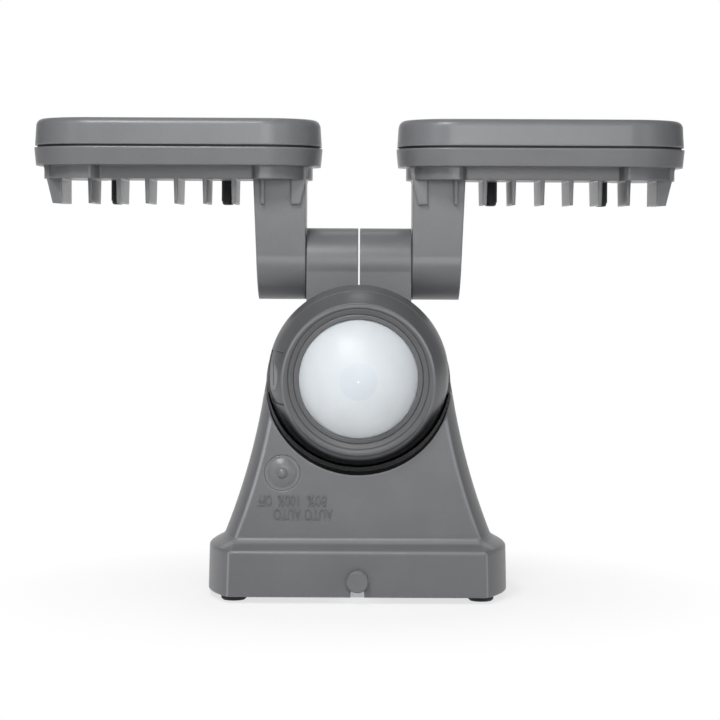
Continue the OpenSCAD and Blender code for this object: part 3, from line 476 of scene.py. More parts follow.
@dataclass(frozen=True)
class TowerPlastic(MouldedPlastic):
    """The housing's plastic, with painted shade round the window's axis and painted highlights along
    its front's creases.

    A pair of heights holds the two ends of a fade.
    """

    socket_r: float = 36.9 * MM
    socket_shade_top: tuple[float, float] = (WINDOW_Z - 5 * MM, WINDOW_Z + 2 * MM)
    socket_lip: float = 0.6 * MM
    skirt_y: float = -32.0 * MM
    skirt_top: float = 18.0 * MM + FOOT_H
    face: LeaningFace = LeaningFace()
    crease_highlight_w: float = 3.0 * MM
    crease_highlight_top: tuple[float, float] = (WINDOW_Z - 14 * MM, WINDOW_Z - 9 * MM)
    crease_highlight_tone: float = 3.2

    def detail(self, graph: Surface, body: Signal, relief: Signal) -> tuple[Signal, Signal]:
        """Paints shade within the socket's radius of the window's axis, and highlights on the
        creases.

        Args:
            graph: The material's nodes.
            body: The colour so far.
            relief: The relief so far.

        Returns:
            The new colour, and the relief as it was.
        """
        reach = graph.axis_parts(Vector((0, 0, WINDOW_Z)), Vector((0, 1, 0)))[1]
        depth, height = graph.place().part("Y"), graph.place().part("Z")
        facing, upward = graph.true_normal().part("Y"), graph.true_normal().part("Z")
        # Painted shade: near black on the housing within the socket's radius of the window's axis,
        # fading out above the socket. It has no limit in depth, so it also falls on the tower's outer
        # back below the hood.
        socket_shade = (reach < self.socket_r) * height.ramp(*self.socket_shade_top, 1.0, 0.0)
        body = graph.blend(socket_shade * 0.93, body, DEEP_SHADE)
        # Painted highlight: a lighter band along the creases where the front face meets the round
        # sides, below the window, fainter on the skirt and on faces that look upward.
        on_skirt = height < self.skirt_top
        front = on_skirt * self.skirt_y + (1.0 - on_skirt) * self.face.depth(height)
        near = abs(depth - front) * (on_skirt + 1.0)
        crease_highlight = near.ramp(self.crease_highlight_w * 0.5, self.crease_highlight_w, 1.0, 0.0)
        crease_highlight = crease_highlight * (facing > -0.95) * (facing < 0.0)
        below = height.ramp(*self.crease_highlight_top, 1.0, 0.0)
        below = below * (reach > self.socket_r + self.socket_lip)
        level = upward.ramp(0.3, 0.5, 1.0, 0.25) * (1.0 - on_skirt * 0.4)
        body = graph.blend(crease_highlight * below * level * 0.85, body, self.tone(self.crease_highlight_tone))
        return body, relief


@dataclass(frozen=True)
class SensorPlastic(MouldedPlastic):
    """The ball's plastic: a groove with painted shade in it and a painted highlight on the rim of its
    face, painted shade below it.

    A pair holds the two ends of a fade: distances from the rim or the groove, or heights.
    """

    face_r: float = 29.7 * MM
    face_depth: float = 17 * MM
    rim: tuple[float, float] = (0.25 * MM, 0.6 * MM)
    rim_highlight_tone: float = 2.4
    shade_band: tuple[float, float] = (0.7 * MM, 1.6 * MM)
    shade_band_top: tuple[float, float] = (WINDOW_Z - 18 * MM, WINDOW_Z - 4 * MM)
    groove_r: float = 27.4 * MM
    groove: tuple[float, float] = (0.1 * MM, 0.3 * MM)
    groove_shade_tone: float = 0.3

    def detail(self, graph: Surface, body: Signal, relief: Signal) -> tuple[Signal, Signal]:
        """Paints a highlight on the rim of the face, paints shade on the ball below it and draws the
        groove, darkened with painted shade.

        Args:
            graph: The material's nodes.
            body: The colour so far.
            relief: The relief so far.

        Returns:
            The new colour and relief.
        """
        reach = graph.axis_parts(Vector((0, 0, WINDOW_Z)), Vector((0, 1, 0)))[1]
        # Painted shade: the ball darkens to near black outside the rim of its face, on its lower
        # part.
        low = graph.place().part("Z").ramp(*self.shade_band_top, 1.0, 0.0)
        shade_band = reach.ramp(*(self.face_r + step for step in self.shade_band), 0.0, 0.93)
        # Painted highlight: a lighter line along the rim of the face.
        rim = abs(reach - self.face_r).ramp(*self.rim, 1.0, 0.0)
        body = graph.blend(shade_band * low, body, DEEP_SHADE)
        body = graph.blend(rim * 0.6, body, self.tone(self.rim_highlight_tone))
        depth, distance = graph.axis_parts(*sensor_view())
        # Painted shade: the groove, drawn in relief, is also darkened.
        groove = abs(distance - self.groove_r).ramp(*self.groove, 1.0, 0.0)
        groove = groove * (depth > self.face_depth)
        body = graph.blend(groove * 0.75, body, self.tone(self.groove_shade_tone))
        return body, relief - groove * 4.0


@dataclass(frozen=True)
class MilkyLens:
    """Milky polyethylene lens with the facets moulded inside it, painted shade towards its top and
    painted light towards its foot.
    """

    name: str
    centre: Vector
    view: Vector
    lens_r: float = 23.2 * MM
    hub_r: float = 7.6 * MM
    hub_edge: float = 0.4 * MM
    hub_line: float = 0.35 * MM
    ring_pitch: float = 1.1 * MM
    facet: float = 6.4 * MM
    apex: tuple[float, float] = (0.15 * MM, 0.4 * MM)
    cloud: float = 9 * MM
    scatter: float = 4.0 * MM
    relief: float = 0.03 * MM
    colour: tuple[float, float, float] = (0.63, 0.67, 0.70)
    cloud_colour: tuple[float, float, float] = (0.61, 0.65, 0.68)
    top_shade_colour: tuple[float, float, float] = (0.50, 0.53, 0.555)
    foot_light_colour: tuple[float, float, float] = (0.82, 0.86, 0.89)
    hub_colour: tuple[float, float, float] = (0.54, 0.60, 0.66)
    line_colour: tuple[float, float, float] = (0.78, 0.81, 0.83)
    facet_colour: tuple[float, float, float] = (0.50, 0.55, 0.58)
    rim_colour: tuple[float, float, float] = (0.50, 0.54, 0.57)
    apex_colour: tuple[float, float, float] = (0.95, 0.96, 0.97)

    def build(self) -> bpy.types.Material:
        """Makes the material."""
        graph = Surface(self.name)
        distance = graph.axis_parts(self.centre, self.view)[1]
        height = graph.place().part("Z") - self.centre.z
        hub = distance.ramp(self.hub_r - self.hub_edge, self.hub_r + self.hub_edge, 1.0, 0.0)
        hub_line = abs(distance - self.hub_r).ramp(0.0, self.hub_line, 1.0, 0.0)
        rings = (distance / self.ring_pitch).fract()
        facets = graph.cells(self.facet, "DISTANCE_TO_EDGE", 0.35).ramp(0.0, 0.12, 1.0, 0.0)
        apex = distance.ramp(*self.apex, 1.0, 0.0)
        cloud = graph.noise(self.cloud, 2.0)
        milk = graph.blend(cloud.ramp(0.3, 0.7), self.cloud_colour, self.colour)
        for share, colour in (
            # Painted shade darkens the lens towards its top, and painted light lightens it towards
            # its foot.
            (height.ramp(0.0, self.lens_r, 0.0, 0.4), self.top_shade_colour),
            (height.ramp(-self.lens_r, 0.0, 0.6, 0.0), self.foot_light_colour),
            (hub * 0.35, self.hub_colour),
            (hub_line * 0.15, self.line_colour),
            (facets * (1.0 - hub) * 0.05, self.facet_colour),
            (distance.ramp(self.lens_r * 0.8, self.lens_r, 0.0, 1.0) * 0.3, self.rim_colour),
            (apex * 0.8, self.apex_colour),
        ):
            milk = graph.blend(share, milk, colour)
        relief = rings * 0.2 * hub + facets * (1.0 - hub) * 0.1 + apex * 0.6
        graph.feed(
            Base_Color=milk,
            Roughness=cloud * 0.08 + 0.42,
            Normal=graph.bump(relief, self.relief),
            Subsurface_Weight=0.5,
            Subsurface_Radius=(0.9, 0.95, 1.0),
            Subsurface_Scale=self.scatter,
            IOR=1.5,
            Sheen_Weight=0.2,
            Sheen_Roughness=0.5,
        )
        return graph.material


@dataclass(frozen=True)
class ClearCover:
    """Clear moulded cover over the lamps."""

    name: str
    colour: tuple[float, float, float] = (0.93, 0.96, 0.98)
    haze_colour: tuple[float, float, float] = (0.88, 0.92, 0.95)
    haze: float = 4 * MM
    rib: float = 1.2 * MM
    rib_depth: float = 0.008 * MM

    def build(self) -> bpy.types.Material:
        """Makes the material."""
        graph = Surface(self.name)
        haze = graph.noise(self.haze, 2.0)
        ribs = graph.noise(self.rib, 1.0)
        graph.feed(
            Base_Color=graph.blend(haze, self.colour, self.haze_colour),
            Roughness=haze * 0.05 + 0.06,
            Normal=graph.bump(ribs, self.rib_depth),
            Transmission_Weight=1.0,
            IOR=1.49,
        )
        return graph.material


@dataclass(frozen=True)
class Metal:
    """Plated, blackened or bare metal with fine drawing lines."""

    name: str
    colour: tuple[float, float, float]
    roughness: float = 0.3
    metallic: float = 1.0
    line: float = 0.25 * MM
    stretch: float = 14.0
    line_depth: float = 0.006 * MM
    edge: float = 0.25 * MM
    bloom: float = 3.5 * MM
    dulled: float = 0.78

    def build(self) -> bpy.types.Material:
        """Makes the material."""
        graph = Surface(self.name)
        rounded = graph.soft_edges(self.edge)
        streaks = graph.node(
            "ShaderNodeTexNoise",
            {"noise_dimensions": "3D"},
            {
                "Vector": graph.node(
                    "ShaderNodeMapping",
                    {},
                    {"Vector": graph.place(), "Scale": (1.0, self.stretch, self.stretch)},
                ),
                "Scale": 0.12 / self.line,
                "Detail": 3.0,
            },
        )
        bloom = graph.noise(self.bloom, 3.0, 0.6)
        dull = tuple(c * self.dulled for c in self.colour)
        graph.feed(
            Base_Color=graph.blend(bloom.ramp(0.35, 0.75), self.colour, dull),
            Roughness=streaks * 0.16 + bloom * 0.1 + self.roughness - 0.1,
            Normal=graph.bump(streaks, self.line_depth, rounded),
            Metallic=self.metallic,
        )
        return graph.material


@dataclass(frozen=True)
class Rubber:
    """Black moulded rubber with a dusty bloom."""

    name: str
    colour: tuple[float, float, float] = (0.018, 0.018, 0.02)
    dust_colour: tuple[float, float, float] = (0.05, 0.05, 0.052)
    edge_colour: tuple[float, float, float] = (0.07, 0.07, 0.072)
    edge: float = 0.3 * MM
    grain: float = 0.3 * MM
    grain_depth: float = 0.03 * MM
    dust: float = 5 * MM

    def build(self) -> bpy.types.Material:
        """Makes the material."""
        graph = Surface(self.name)
        rounded = graph.soft_edges(self.edge)
        edges = graph.edge_mask(rounded)
        grain = graph.noise(self.grain, 3.0, 0.6)
        dust = graph.noise(self.dust, 3.0, 0.6).ramp(0.45, 0.8)
        body = graph.blend(dust * 0.5, self.colour, self.dust_colour)
        graph.feed(
            Base_Color=graph.blend(edges * 0.35, body, self.edge_colour),
            Roughness=dust * 0.12 + 0.62,
            Normal=graph.bump(grain, self.grain_depth, rounded),
        )
        return graph.material


@dataclass(frozen=True)
class Board:
    """Solder mask over laminate, with its tracks showing as low relief."""

    name: str
    mask: tuple[float, float, float]
    track: tuple[float, float, float]
    pitch: float = 2.4 * MM
    weave: float = 0.6 * MM
    relief: float = 0.03 * MM
    tin: tuple[float, float, float] = (0.62, 0.6, 0.55)

    def build(self) -> bpy.types.Material:
        """Makes the material."""
        graph = Surface(self.name)
        tracks = graph.cells(self.pitch, "DISTANCE_TO_EDGE", 0.15).ramp(0.06, 0.1, 1.0, 0.0)
        pads = graph.cells(self.pitch * 1.6, "F1", 0.4).ramp(0.1, 0.14, 1.0, 0.0)
        weave = graph.noise(self.weave, 2.0)
        body = graph.blend(weave, self.mask, tuple(c * 0.85 for c in self.mask))
        body = graph.blend(tracks * 0.6, body, self.track)
        graph.feed(
            Base_Color=graph.blend(pads * 0.8, body, self.tin),
            Roughness=0.34 - pads * 0.1 + weave * 0.06,
            Metallic=pads * 0.8,
            Normal=graph.bump(tracks * 0.7 + pads * 0.3, self.relief),
        )
        return graph.material


@dataclass(frozen=True)
class Phosphor:
    """Soft silicone over a yellow phosphor."""

    name: str
    colour: tuple[float, float, float] = (0.80, 0.62, 0.10)
    pale: tuple[float, float, float] = (0.88, 0.74, 0.22)
    speck: float = 0.25 * MM
    speck_depth: float = 0.01 * MM
    scatter: float = 0.5 * MM

    def build(self) -> bpy.types.Material:
        """Makes the material."""
        graph = Surface(self.name)
        specks = graph.noise(self.speck, 3.0)
        graph.feed(
            Base_Color=graph.blend(specks, self.colour, self.pale),
            Roughness=specks * 0.1 + 0.28,
            Normal=graph.bump(specks, self.speck_depth),
            Subsurface_Weight=0.2,
            Subsurface_Scale=self.scatter,
        )
        return graph.material


def sensor_view() -> tuple[Vector, Vector]:
    """Centre of the sensor ball and its direction of view at rest."""
    centre = Vector((0, -9 * MM, 85.2 * MM + FOOT_H))
    tilt = math.radians(1.7)
    return centre, Vector((0, -math.cos(tilt), -math.sin(tilt)))


def grey(share: float) -> tuple[float, ...]:
    """The light's grey times a share."""
    return tuple(c * share for c in GREY)


def build_finishes() -> dict[str, bpy.types.Material]:
    """Makes the finish of each material slot of the record, of the bezels and of the legends.

    Returns:
        The materials by name, a slot's under the slot's own.
    """
    finishes = (
        TowerPlastic("housing_plastic", GREY),
        MouldedPlastic("head_plastic", GREY, 0.34),
        # The bezels' lighter grey is painted light: the heads' grey made lighter where more light
        # falls on them.
        MouldedPlastic("bezel_plastic_painted_light", grey(1.14), 0.34),
        SensorPlastic("sensor_plastic", grey(0.7), 0.36, edge=0.45 * MM),
        MouldedPlastic("button_plastic", grey(1.1), 0.34, edge=0.3 * MM),
        # The legends' darker grey is painted shade along their strokes, with a strong painted
        # highlight on their edges.
        MouldedPlastic("legend_plastic_painted_shade", grey(0.74), 0.42, edge=0.15 * MM, edge_highlight=1.0),
        MouldedPlastic("black_plastic", (0.02, 0.02, 0.022), 0.42),
        MouldedPlastic("white_plastic", (0.8, 0.8, 0.79), 0.3),
        MouldedPlastic("green_plastic", (0.04, 0.26, 0.09), 0.4),
        MouldedPlastic("capacitor_sleeve", (0.02, 0.03, 0.11), 0.3),
        MilkyLens("milky_lens", *sensor_view()),
        ClearCover("clear_cover"),
        Rubber("black_rubber"),
        Metal("core_steel", (0.1, 0.1, 0.105), 0.6, 0.3),
        Metal("black_steel", (0.03, 0.03, 0.032), 0.42, 0.6),
        Metal("plated_steel", (0.62, 0.63, 0.65), 0.32),
        Board("board_laminate", (0.02, 0.11, 0.045), (0.04, 0.2, 0.08)),
        Board("white_board", (0.82, 0.82, 0.8), (0.7, 0.71, 0.7), 4.2 * MM),
        Phosphor("led_phosphor"),
    )
    return {finish.name: finish.build() for finish in finishes}


# Mesh workshop


@dataclass
class Workshop:
    """Turns finished bmeshes into pieces of the light."""

    finishes: dict[str, bpy.types.Material]
    made: list[str] = field(default_factory=list)

    def piece(
        self,
        form: bmesh.types.BMesh,
        name: str,
        body: str,
        slots: Sequence[str],
        stood_for: Sequence[str] = (),
        sharp: float = 32.0,
    ) -> bpy.types.Object:
        """Closes a form into an object that rides on a body.

        Args:
            form: The modelled form, in place, in metres.
            name: The piece's name.
            body: The body that it moves with.
            slots: Its finishes, by material index.
            stood_for: The solids that it stands for.
            sharp: Angle in degrees past which an edge stays sharp.

        Returns:
            The new object.
        """
        bmesh.ops.remove_doubles(form, verts=form.verts, dist=MERGE)
        bmesh.ops.recalc_face_normals(form, faces=form.faces)
        mesh = bpy.data.meshes.new(name)
        form.to_mesh(mesh)
        form.free()
        for slot in slots:
            mesh.materials.append(self.finishes[slot])
        mesh.polygons.foreach_set("use_smooth", [True] * len(mesh.polygons))
        mesh.set_sharp_from_angle(angle=math.radians(sharp))
        made = bpy.data.objects.new(name, mesh)
        bpy.context.scene.collection.objects.link(made)
        if stood_for:
            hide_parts(*stood_for)
        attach(made, body)
        self.made.append(name)
        log.info("piece %s on %s, %d faces", name, body, len(mesh.polygons))
        return made


def turned(form: bmesh.types.BMesh, outline: Sequence[tuple[float, float]], steps: int) -> None:
    """Spins an open outline round the Z axis into the form.

    Args:
        form: The bmesh that takes the new faces.
        outline: Points (radius, height) from one end to the other.
        steps: Faces round the turn.
    """
    points = [form.verts.new((r, 0.0, z)) for r, z in outline]
    edges = [form.edges.new(pair) for pair in zip(points, points[1:])]
    bmesh.ops.spin(
        form,
        geom=[*points, *edges],
        cent=(0, 0, 0),
        axis=(0, 0, 1),
        dvec=(0, 0, 0),
        angle=2 * math.pi,
        steps=steps,
        use_merge=True,
        use_duplicate=False,
    )
    bmesh.ops.remove_doubles(form, verts=form.verts, dist=MERGE)


@dataclass(frozen=True)
class Fastener:
    """A screw with its recess, drawn with its head below the plane under the head.

    Its lengths are in metres; the rest are shares of the shank's or the head's size.
    """

    head_r: float
    head_h: float
    shank_r: float
    shank_l: float
    thread: float
    recess: Recess = Recess.CROSS
    steps: int = 24
    plain_end: float = 1.2 * MM
    root: float = 0.82
    rim: float = 0.62
    recess_h: float = 0.55
    recess_taper: float = 0.82
    hex_r: float = 0.42
    arm_r: float = 0.54
    web_r: float = 0.234

    def add(self, form: bmesh.types.BMesh, place: Matrix) -> None:
        """Adds one screw to a form.

        Args:
            form: The bmesh that takes the screw.
            place: Where it stands, its +Z along the shank.
        """
        own = bmesh.new()
        turned(own, self._outline(), self.steps)
        rim = [edge for edge in own.edges if edge.is_boundary]
        for sink in (0.0, self.head_h * self.recess_h):
            grown = bmesh.ops.extrude_edge_only(own, edges=rim)["geom"]
            rim = [part for part in grown if isinstance(part, bmesh.types.BMEdge)]
            for corner in (part for part in grown if isinstance(part, bmesh.types.BMVert)):
                angle = math.atan2(corner.co.y, corner.co.x)
                reach = self._reach(angle) * self.head_r / corner.co.xy.length
                corner.co.xy *= self.recess_taper if sink else reach
                corner.co.z += sink
        bmesh.ops.holes_fill(own, edges=rim, sides=64)
        bmesh.ops.recalc_face_normals(own, faces=own.faces)
        bmesh.ops.transform(own, matrix=place, verts=own.verts)
        copied = bpy.data.meshes.new("fastener")
        own.to_mesh(copied)
        own.free()
        form.from_mesh(copied)
        bpy.data.meshes.remove(copied)

    def _outline(self) -> list[tuple[float, float]]:
        """Radius and height from the tip of the shank to the rim of the recess."""
        r, h, shank = self.head_r, self.head_h, self.shank_r
        top = self.shank_l - shank * 0.5
        outline = [(0.0, self.shank_l), (shank * 0.7, self.shank_l), (shank, top)]
        for turn in range(max(2, int((top - self.plain_end) / self.thread))):
            z = top - (turn + 0.5) * self.thread
            outline += [(shank * self.root, z + self.thread * 0.2), (shank, z - self.thread * 0.3)]
        outline += [(shank, 0.0), (r, 0.0), (r, -h * 0.45), (r * 0.9, -h * 0.8)]
        return [*outline, (r * self.rim, -h)]

    def _reach(self, angle: float) -> float:
        """Half width of the recess at an angle, as a share of the head's radius."""
        if self.recess is Recess.HEX:
            return self.hex_r / math.cos((angle % (math.pi / 3)) - math.pi / 6)
        return self.arm_r if abs(math.cos(2 * angle)) > 0.8 else self.web_r


# Lettering


class Row(Enum):
    """Lowest and highest edge of a row of legends above the skirt edge, in millimetres."""

    UPPER = (34.5, 38.8)
    LOWER = (29.2, 33.5)


@dataclass(frozen=True)
class Word:
    """A raised word on the front face, between two places across it in millimetres."""

    text: str
    left: float
    right: float
    row: Row


@dataclass
class ControlFace:
    """The leaning front face with the legends of the mode button."""

    workshop: Workshop
    face: LeaningFace = LeaningFace()
    relief: float = 0.4 * MM
    type_size: float = 5.4 * MM
    words: tuple[Word, ...] = (
        Word("OFF", -39.1, -33.7, Row.UPPER),
        Word("100%", -31.4, -23.1, Row.UPPER),
        Word("80%", -19.8, -12.2, Row.UPPER),
        Word("AUTO", -32.9, -22.3, Row.LOWER),
        Word("AUTO", -20.9, -9.9, Row.LOWER),
    )

    def frame(self) -> Matrix:
        """Turn that lays lettering on the face, upside down as it is read with the base up."""
        axes = (-Vector((1, 0, 0)), -self.face.uphill(), self.face.normal())
        return Matrix(axes).transposed().to_4x4()

    def fit(self, word: Word, mesh: bpy.types.Mesh) -> Matrix:
        """Finds where a flat word goes on the face.

        Args:
            word: The word and its place.
            mesh: Its letters, lying flat at any size.

        Returns:
            The matrix that sizes, turns and places them.
        """
        low, high = (
            Vector(map(pick, zip(*(corner.co for corner in mesh.vertices)))) for pick in (min, max)
        )
        foot, top = word.row.value
        width = (word.right - word.left) * MM / (high.x - low.x)
        height = (top - foot) * MM / (high.y - low.y)
        x, z = (word.left + word.right) / 2 * MM, (foot + top) / 2 * MM + FOOT_H
        place = Matrix.Translation((x, self.face.depth(z), z))
        size = Matrix.Diagonal((width, height, 1.0, 1.0))
        return place @ self.frame() @ size @ Matrix.Translation(-(low + high) / 2)

    def legends(self) -> bpy.types.Object:
        """Makes the raised legends of the mode button's settings.

        Returns:
            One object with every word.
        """
        form = bmesh.new()
        for word in self.words:
            curve = bpy.data.curves.new("legend", "FONT")
            curve.body = word.text
            curve.align_x = "CENTER"
            curve.align_y = "CENTER"
            curve.size = self.type_size
            curve.extrude = self.relief
            curve.resolution_u = 3
            text = bpy.data.objects.new("legend", curve)
            bpy.context.scene.collection.objects.link(text)
            depsgraph = bpy.context.evaluated_depsgraph_get()
            flat = bpy.data.meshes.new_from_object(text.evaluated_get(depsgraph))
            flat.transform(self.fit(word, flat))
            form.from_mesh(flat)
            bpy.data.objects.remove(text)
            bpy.data.curves.remove(curve)
            bpy.data.meshes.remove(flat)
        made = self.workshop.piece(form, "mode_legends", "base", ["button_plastic"], sharp=20)
        # The legends take the darker grey of painted shade.
        made.data.materials[0] = self.workshop.finishes["legend_plastic_painted_shade"]
        return made


# Sub-assemblies


@dataclass
class BaseHardware:
    """Fasteners of the base: the screws of the back cover."""

    workshop: Workshop
    cover_r: float = 49.5 * MM
    cover_z: float = 11.0 * MM
    angles: tuple[float, ...] = (-8, 62, 118, 188)
    screw: Fastener = Fastener(2.8 * MM, 2.0 * MM, 1.45 * MM, 9.4 * MM, thread=1.1 * MM)

    def cover_screws(self) -> bpy.types.Object:
        """Makes the back cover's pan-head screws."""
        form = bmesh.new()
        for angle in map(math.radians, self.angles):
            foot = Vector(
                (
                    self.cover_r * math.cos(angle),
                    self.cover_r * math.sin(angle),
                    self.cover_z + FOOT_H,
                )
            )
            self.screw.add(form, Matrix.Translation(foot))
        return self.workshop.piece(
            form, "cover_screw_set", "base", ["plated_steel"], ["cover_screws"]
        )


@dataclass
class SensorBall:
    """The swivelling ball's frame and the screws that close it."""

    workshop: Workshop
    boss_r: float = 26.0 * MM
    head_a: float = -14.0 * MM
    angles: tuple[float, ...] = (90, 210, 330)
    screw: Fastener = Fastener(2.2 * MM, 1.6 * MM, 1.15 * MM, 28.5 * MM, thread=0.9 * MM)

    def frame(self) -> Matrix:
        """Frame of the ball: its +Z is the view and its +Y is up."""
        centre, view = sensor_view()
        up = Vector((0, view.z, -view.y))
        turn = Matrix((Vector((1, 0, 0)), up, view)).transposed()
        return Matrix.Translation(centre) @ turn.to_4x4()

    def shell_screws(self) -> bpy.types.Object:
        """Makes the long screws that close the ball from behind."""
        form = bmesh.new()
        for angle in map(math.radians, self.angles):
            foot = Vector(
                (self.boss_r * math.cos(angle), self.boss_r * math.sin(angle), self.head_a)
            )
            self.screw.add(form, self.frame() @ Matrix.Translation(foot))
        return self.workshop.piece(
            form, "shell_screw_set", "sensor_ball", ["plated_steel"], ["shell_screws"]
        )


@dataclass
class LampHead:
    """One lamp head: its lamps and the screws under it."""

    workshop: Workshop
    side: Side
    head_x: float = 73.3 * MM
    pivot_y: float = 22.0 * MM
    board_top: float = 171.6 * MM
    fin_z: float = 152.8 * MM
    columns: int = 5
    rows: int = 2
    pitch: tuple[float, float] = (14.5 * MM, 13.0 * MM)
    led_side: float = 5.0 * MM
    led_t: float = 1.3 * MM
    led_rim: float = 0.7 * MM
    frame_share: float = 0.7
    dome_share: float = 0.28
    dome_rim: float = 0.5 * MM
    post_x: tuple[float, float] = (27.325 * MM, -18.675 * MM)
    post_y: float = 22.6 * MM
    screw: Fastener = Fastener(
        2.5 * MM, 1.6 * MM, 1.35 * MM, 28.5 * MM, recess=Recess.HEX, thread=1.0 * MM
    )

    @property
    def body(self) -> str:
        """Body that the head's pieces ride on."""
        return f"{self.side.prefix}_head"

    def point(self, x: float, y: float, z: float) -> Vector:
        """Point of the head, x outward from its middle and z above the skirt edge."""
        return Vector((self.side.value * (self.head_x + x), self.pivot_y + y, z + FOOT_H))

    def lamps(self) -> bpy.types.Object:
        """Makes the light-emitting diodes: white frames round domes of phosphor."""
        form = bmesh.new()
        for column in range(self.columns):
            for row in range(self.rows):
                x = (column - (self.columns - 1) / 2) * self.pitch[0]
                y = (row - (self.rows - 1) / 2) * self.pitch[1]
                self._lamp(form, self.point(x, y, self.board_top))
        return self.workshop.piece(
            form,
            f"{self.side.prefix}_lamp_set",
            self.body,
            ["white_plastic", "led_phosphor"],
            [f"{self.side.prefix}_leds"],
        )

    def _lamp(self, form: bmesh.types.BMesh, foot: Vector) -> None:
        """Adds one square package with its dome.

        Args:
            form: The bmesh that takes it.
            foot: Middle of its foot.
        """
        frame_h = self.led_t * self.frame_share
        size = Matrix.Diagonal((self.led_side, self.led_side, frame_h, 1.0))
        lift = Matrix.Translation(foot + Vector((0, 0, frame_h / 2)))
        made = bmesh.ops.create_cube(form, size=1.0, matrix=lift @ size)["verts"]
        top = max(
            {f for v in made for f in v.link_faces}, key=lambda f: f.calc_center_median().z
        )
        bmesh.ops.inset_region(form, faces=[top], thickness=self.led_rim)
        top.material_index = 1
        inner = bmesh.ops.inset_region(form, faces=[top], thickness=self.dome_rim)["faces"]
        for face in inner:
            face.material_index = 1
        grown = bmesh.ops.extrude_discrete_faces(form, faces=[top])["faces"]
        for face in grown:
            face.material_index = 1
            bmesh.ops.translate(form, verts=face.verts, vec=(0, 0, self.led_t * self.dome_share))

    def fasteners(self) -> bpy.types.Object:
        """Makes the blackened screws that hold the bezel from below."""
        form = bmesh.new()
        for x in self.post_x:
            foot = self.point(x, self.post_y, self.fin_z + self.screw.head_h)
            self.screw.add(form, Matrix.Translation(foot))
        return self.workshop.piece(
            form,
            f"{self.side.prefix}_head_screw_set",
            self.body,
            ["black_steel"],
            [f"{self.side.prefix}_head_screws"],
        )


# Studio


@dataclass(frozen=True)
class Softbox:
    """A rectangular lamp, placed by its azimuth and elevation in degrees seen from the light.

    Without diffuse it shows in gloss alone, and without glossy it shows in no gloss.
    """

    name: str
    azimuth: float
    elevation: float
    distance: float
    size: tuple[float, float]
    power: float
    diffuse: bool = True
    glossy: bool = True

    def away(self) -> Vector:
        """Offset of the lamp from the middle of the light."""
        turn, rise = math.radians(self.azimuth), math.radians(self.elevation)
        flat = math.cos(rise)
        way = Vector((math.sin(turn) * flat, -math.cos(turn) * flat, math.sin(rise)))
        return self.distance * way


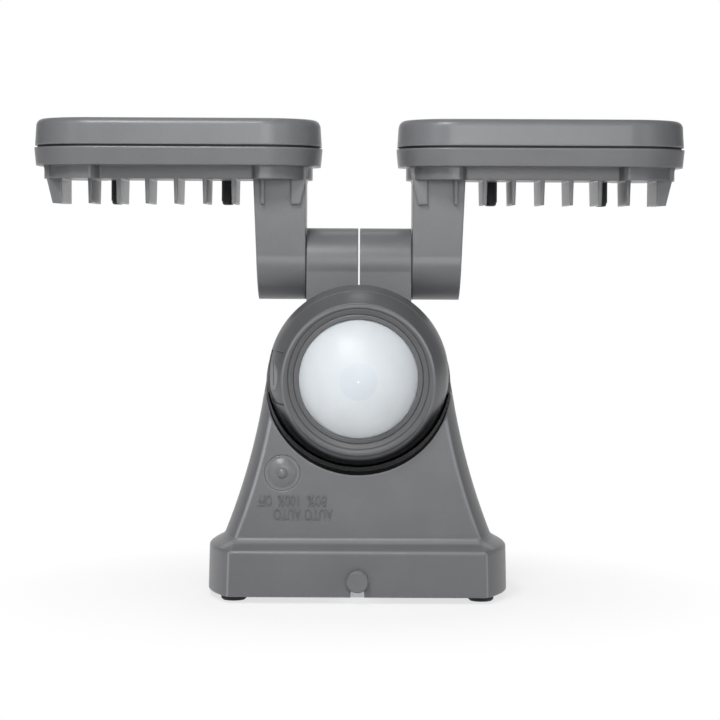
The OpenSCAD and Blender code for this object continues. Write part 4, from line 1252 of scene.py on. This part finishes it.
@dataclass
class Studio:
    """White floor, white surroundings, soft lamps and the camera."""

    distance: float = 0.930
    camera_z: float = 0.140 + FOOT_H
    aim_x: float = 0.0006
    pixels: float = 720.0
    focal_pixels: float = 2330.0
    drop_pixels: float = 123.6
    roll: float = math.radians(0.27)
    film: float = 36.0
    clip: tuple[float, float] = (0.01, 20.0)
    lamp_aim: tuple[float, float, float] = (0.0, 0.0, 0.1)
    sky: float = 0.2
    sky_behind: tuple[float, float] = (0.7, 0.95)
    floor_half: float = 6.0
    floor_tone: float = 0.84
    shadow_r: tuple[float, float] = (0.07, 0.15)
    shadow_white: float = 0.72

    def camera(self) -> bpy.types.Object:
        """Places the camera at the photograph's viewing angle."""
        data = bpy.data.cameras.new("camera")
        data.sensor_width = self.film
        data.lens = self.focal_pixels / self.pixels * self.film
        data.clip_start, data.clip_end = self.clip
        made = bpy.data.objects.new("camera", data)
        bpy.context.scene.collection.objects.link(made)
        made.location = (self.aim_x, -self.distance, self.camera_z)
        pitch = math.atan(self.drop_pixels / self.focal_pixels)
        aimed = Matrix.Rotation(math.pi / 2 - pitch, 3, "X") @ Matrix.Rotation(self.roll, 3, "Z")
        made.rotation_euler = aimed.to_euler()
        bpy.context.scene.camera = made
        return made

    def lamp(self, softbox: Softbox) -> None:
        """Hangs one softbox, turned towards the middle of the light.

        Args:
            softbox: Its place, size and power.
        """
        data = bpy.data.lights.new(softbox.name, "AREA")
        data.shape = "RECTANGLE"
        data.size, data.size_y = softbox.size
        data.energy = softbox.power
        made = bpy.data.objects.new(softbox.name, data)
        bpy.context.scene.collection.objects.link(made)
        away = softbox.away()
        made.location = Vector(self.lamp_aim) + away
        made.rotation_euler = (-away).to_track_quat("-Z", "Y").to_euler()
        made.visible_diffuse = softbox.diffuse
        made.visible_glossy = softbox.glossy

    def lamps(self) -> None:
        """Hangs the front and key lamps, softer ones round them, and strips for the edges."""
        for softbox in (
            Softbox("front", 4, 16, 0.56, (0.24, 0.2), 1.05),
            Softbox("key", -20, 48, 0.6, (0.16, 0.16), 2.3),
            Softbox("soft_left", -42, 30, 1.0, (0.4, 0.4), 0.85),
            Softbox("fill_right", 45, 20, 1.1, (0.5, 0.5), 0.45),
            Softbox("top", 180, 60, 1.2, (0.16, 0.16), 0.6, False),
            Softbox("rear", 172, 16, 1.2, (0.6, 0.5), 5.0, glossy=False),
            Softbox("strip_left", -42, 8, 1.1, (0.1, 0.8), 0.8, False),
            Softbox("strip_right", 42, 8, 1.1, (0.1, 0.8), 0.8, False),
        ):
            self.lamp(softbox)

    def world(self) -> None:
        """Gives even light all round, and plain white to sight, to glass and to gloss from behind."""
        world = bpy.data.worlds.new("studio")
        bpy.context.scene.world = world
        world.use_nodes = True
        graph = Graph(world.node_tree, "ShaderNodeOutputWorld")
        behind = graph.node("ShaderNodeTexCoord", output="Generated").part("Y")
        mirrored = graph.light_path("Glossy") * behind.ramp(*self.sky_behind)
        seen = graph.light_path("Camera").maximum(graph.light_path("Transmission"))
        seen = seen.maximum(mirrored)
        lit, white = (
            graph.node("ShaderNodeBackground", {}, {"Color": (1, 1, 1), "Strength": strength})
            for strength in (self.sky, 1.0)
        )
        graph.show(graph.node("ShaderNodeMixShader", {}, {0: seen, 1: lit, 2: white}))

    def floor(self) -> bpy.types.Object:
        """Lays the pale floor, which keeps the light's shadow."""
        form = bmesh.new()
        bmesh.ops.create_grid(form, x_segments=1, y_segments=1, size=self.floor_half)
        mesh = bpy.data.meshes.new("floor")
        form.to_mesh(mesh)
        form.free()
        made = bpy.data.objects.new("floor", mesh)
        bpy.context.scene.collection.objects.link(made)
        graph = Surface("floor_white")
        graph.feed(Base_Color=(self.floor_tone,) * 3, Roughness=0.9)
        white = graph.node("ShaderNodeEmission", {}, {"Strength": 1.0})
        away = graph.node(
            "ShaderNodeVectorMath", {"operation": "LENGTH"}, {0: graph.place()}, output="Value"
        )
        seen = graph.light_path("Camera")
        for ray in ("Glossy", "Transmission"):
            seen = seen.maximum(graph.light_path(ray))
        share = seen * away.ramp(*self.shadow_r, self.shadow_white, 1.0)
        graph.show(graph.node("ShaderNodeMixShader", {}, {0: share, 1: graph.body(), 2: white}))
        mesh.materials.append(graph.material)
        return made

    def build(self) -> None:
        """Sets up the whole studio."""
        self.camera()
        self.lamps()
        self.world()
        self.floor()
        bpy.context.scene.view_settings.view_transform = "Standard"


def dress_solids(frame: dict[str, Any], finishes: dict[str, bpy.types.Material]) -> None:
    """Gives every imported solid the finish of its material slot, and the bezels their own.

    Args:
        finishes: The materials by name.
    """
    slots = {s["node"]: s["material_slot"] for s in frame["record"]["subparts"]}
    for name, solid in frame["nodes"].items():
        material = finishes["bezel_plastic_painted_light" if name.endswith("_bezel") else slots[name]]
        if not solid.material_slots:
            solid.data.materials.append(material)
        for place in solid.material_slots:
            place.material = material
        log.info("solid %s takes %s", name, material.name)


def main(frame: dict[str, Any]) -> None:
    """Dresses the light and sets the studio.
    """
    finishes = build_finishes()
    dress_solids(frame, finishes)
    workshop = Workshop(finishes)
    ControlFace(workshop).legends()
    BaseHardware(workshop).cover_screws()
    SensorBall(workshop).shell_screws()
    for side in Side:
        head = LampHead(workshop, side)
        head.lamps()
        head.fasteners()
    Studio().build()
    log.info("%d new pieces", len(workshop.made))


if __name__ == "__main__":
    logging.basicConfig(level=logging.INFO, format="%(message)s")
    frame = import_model()
    main(frame)
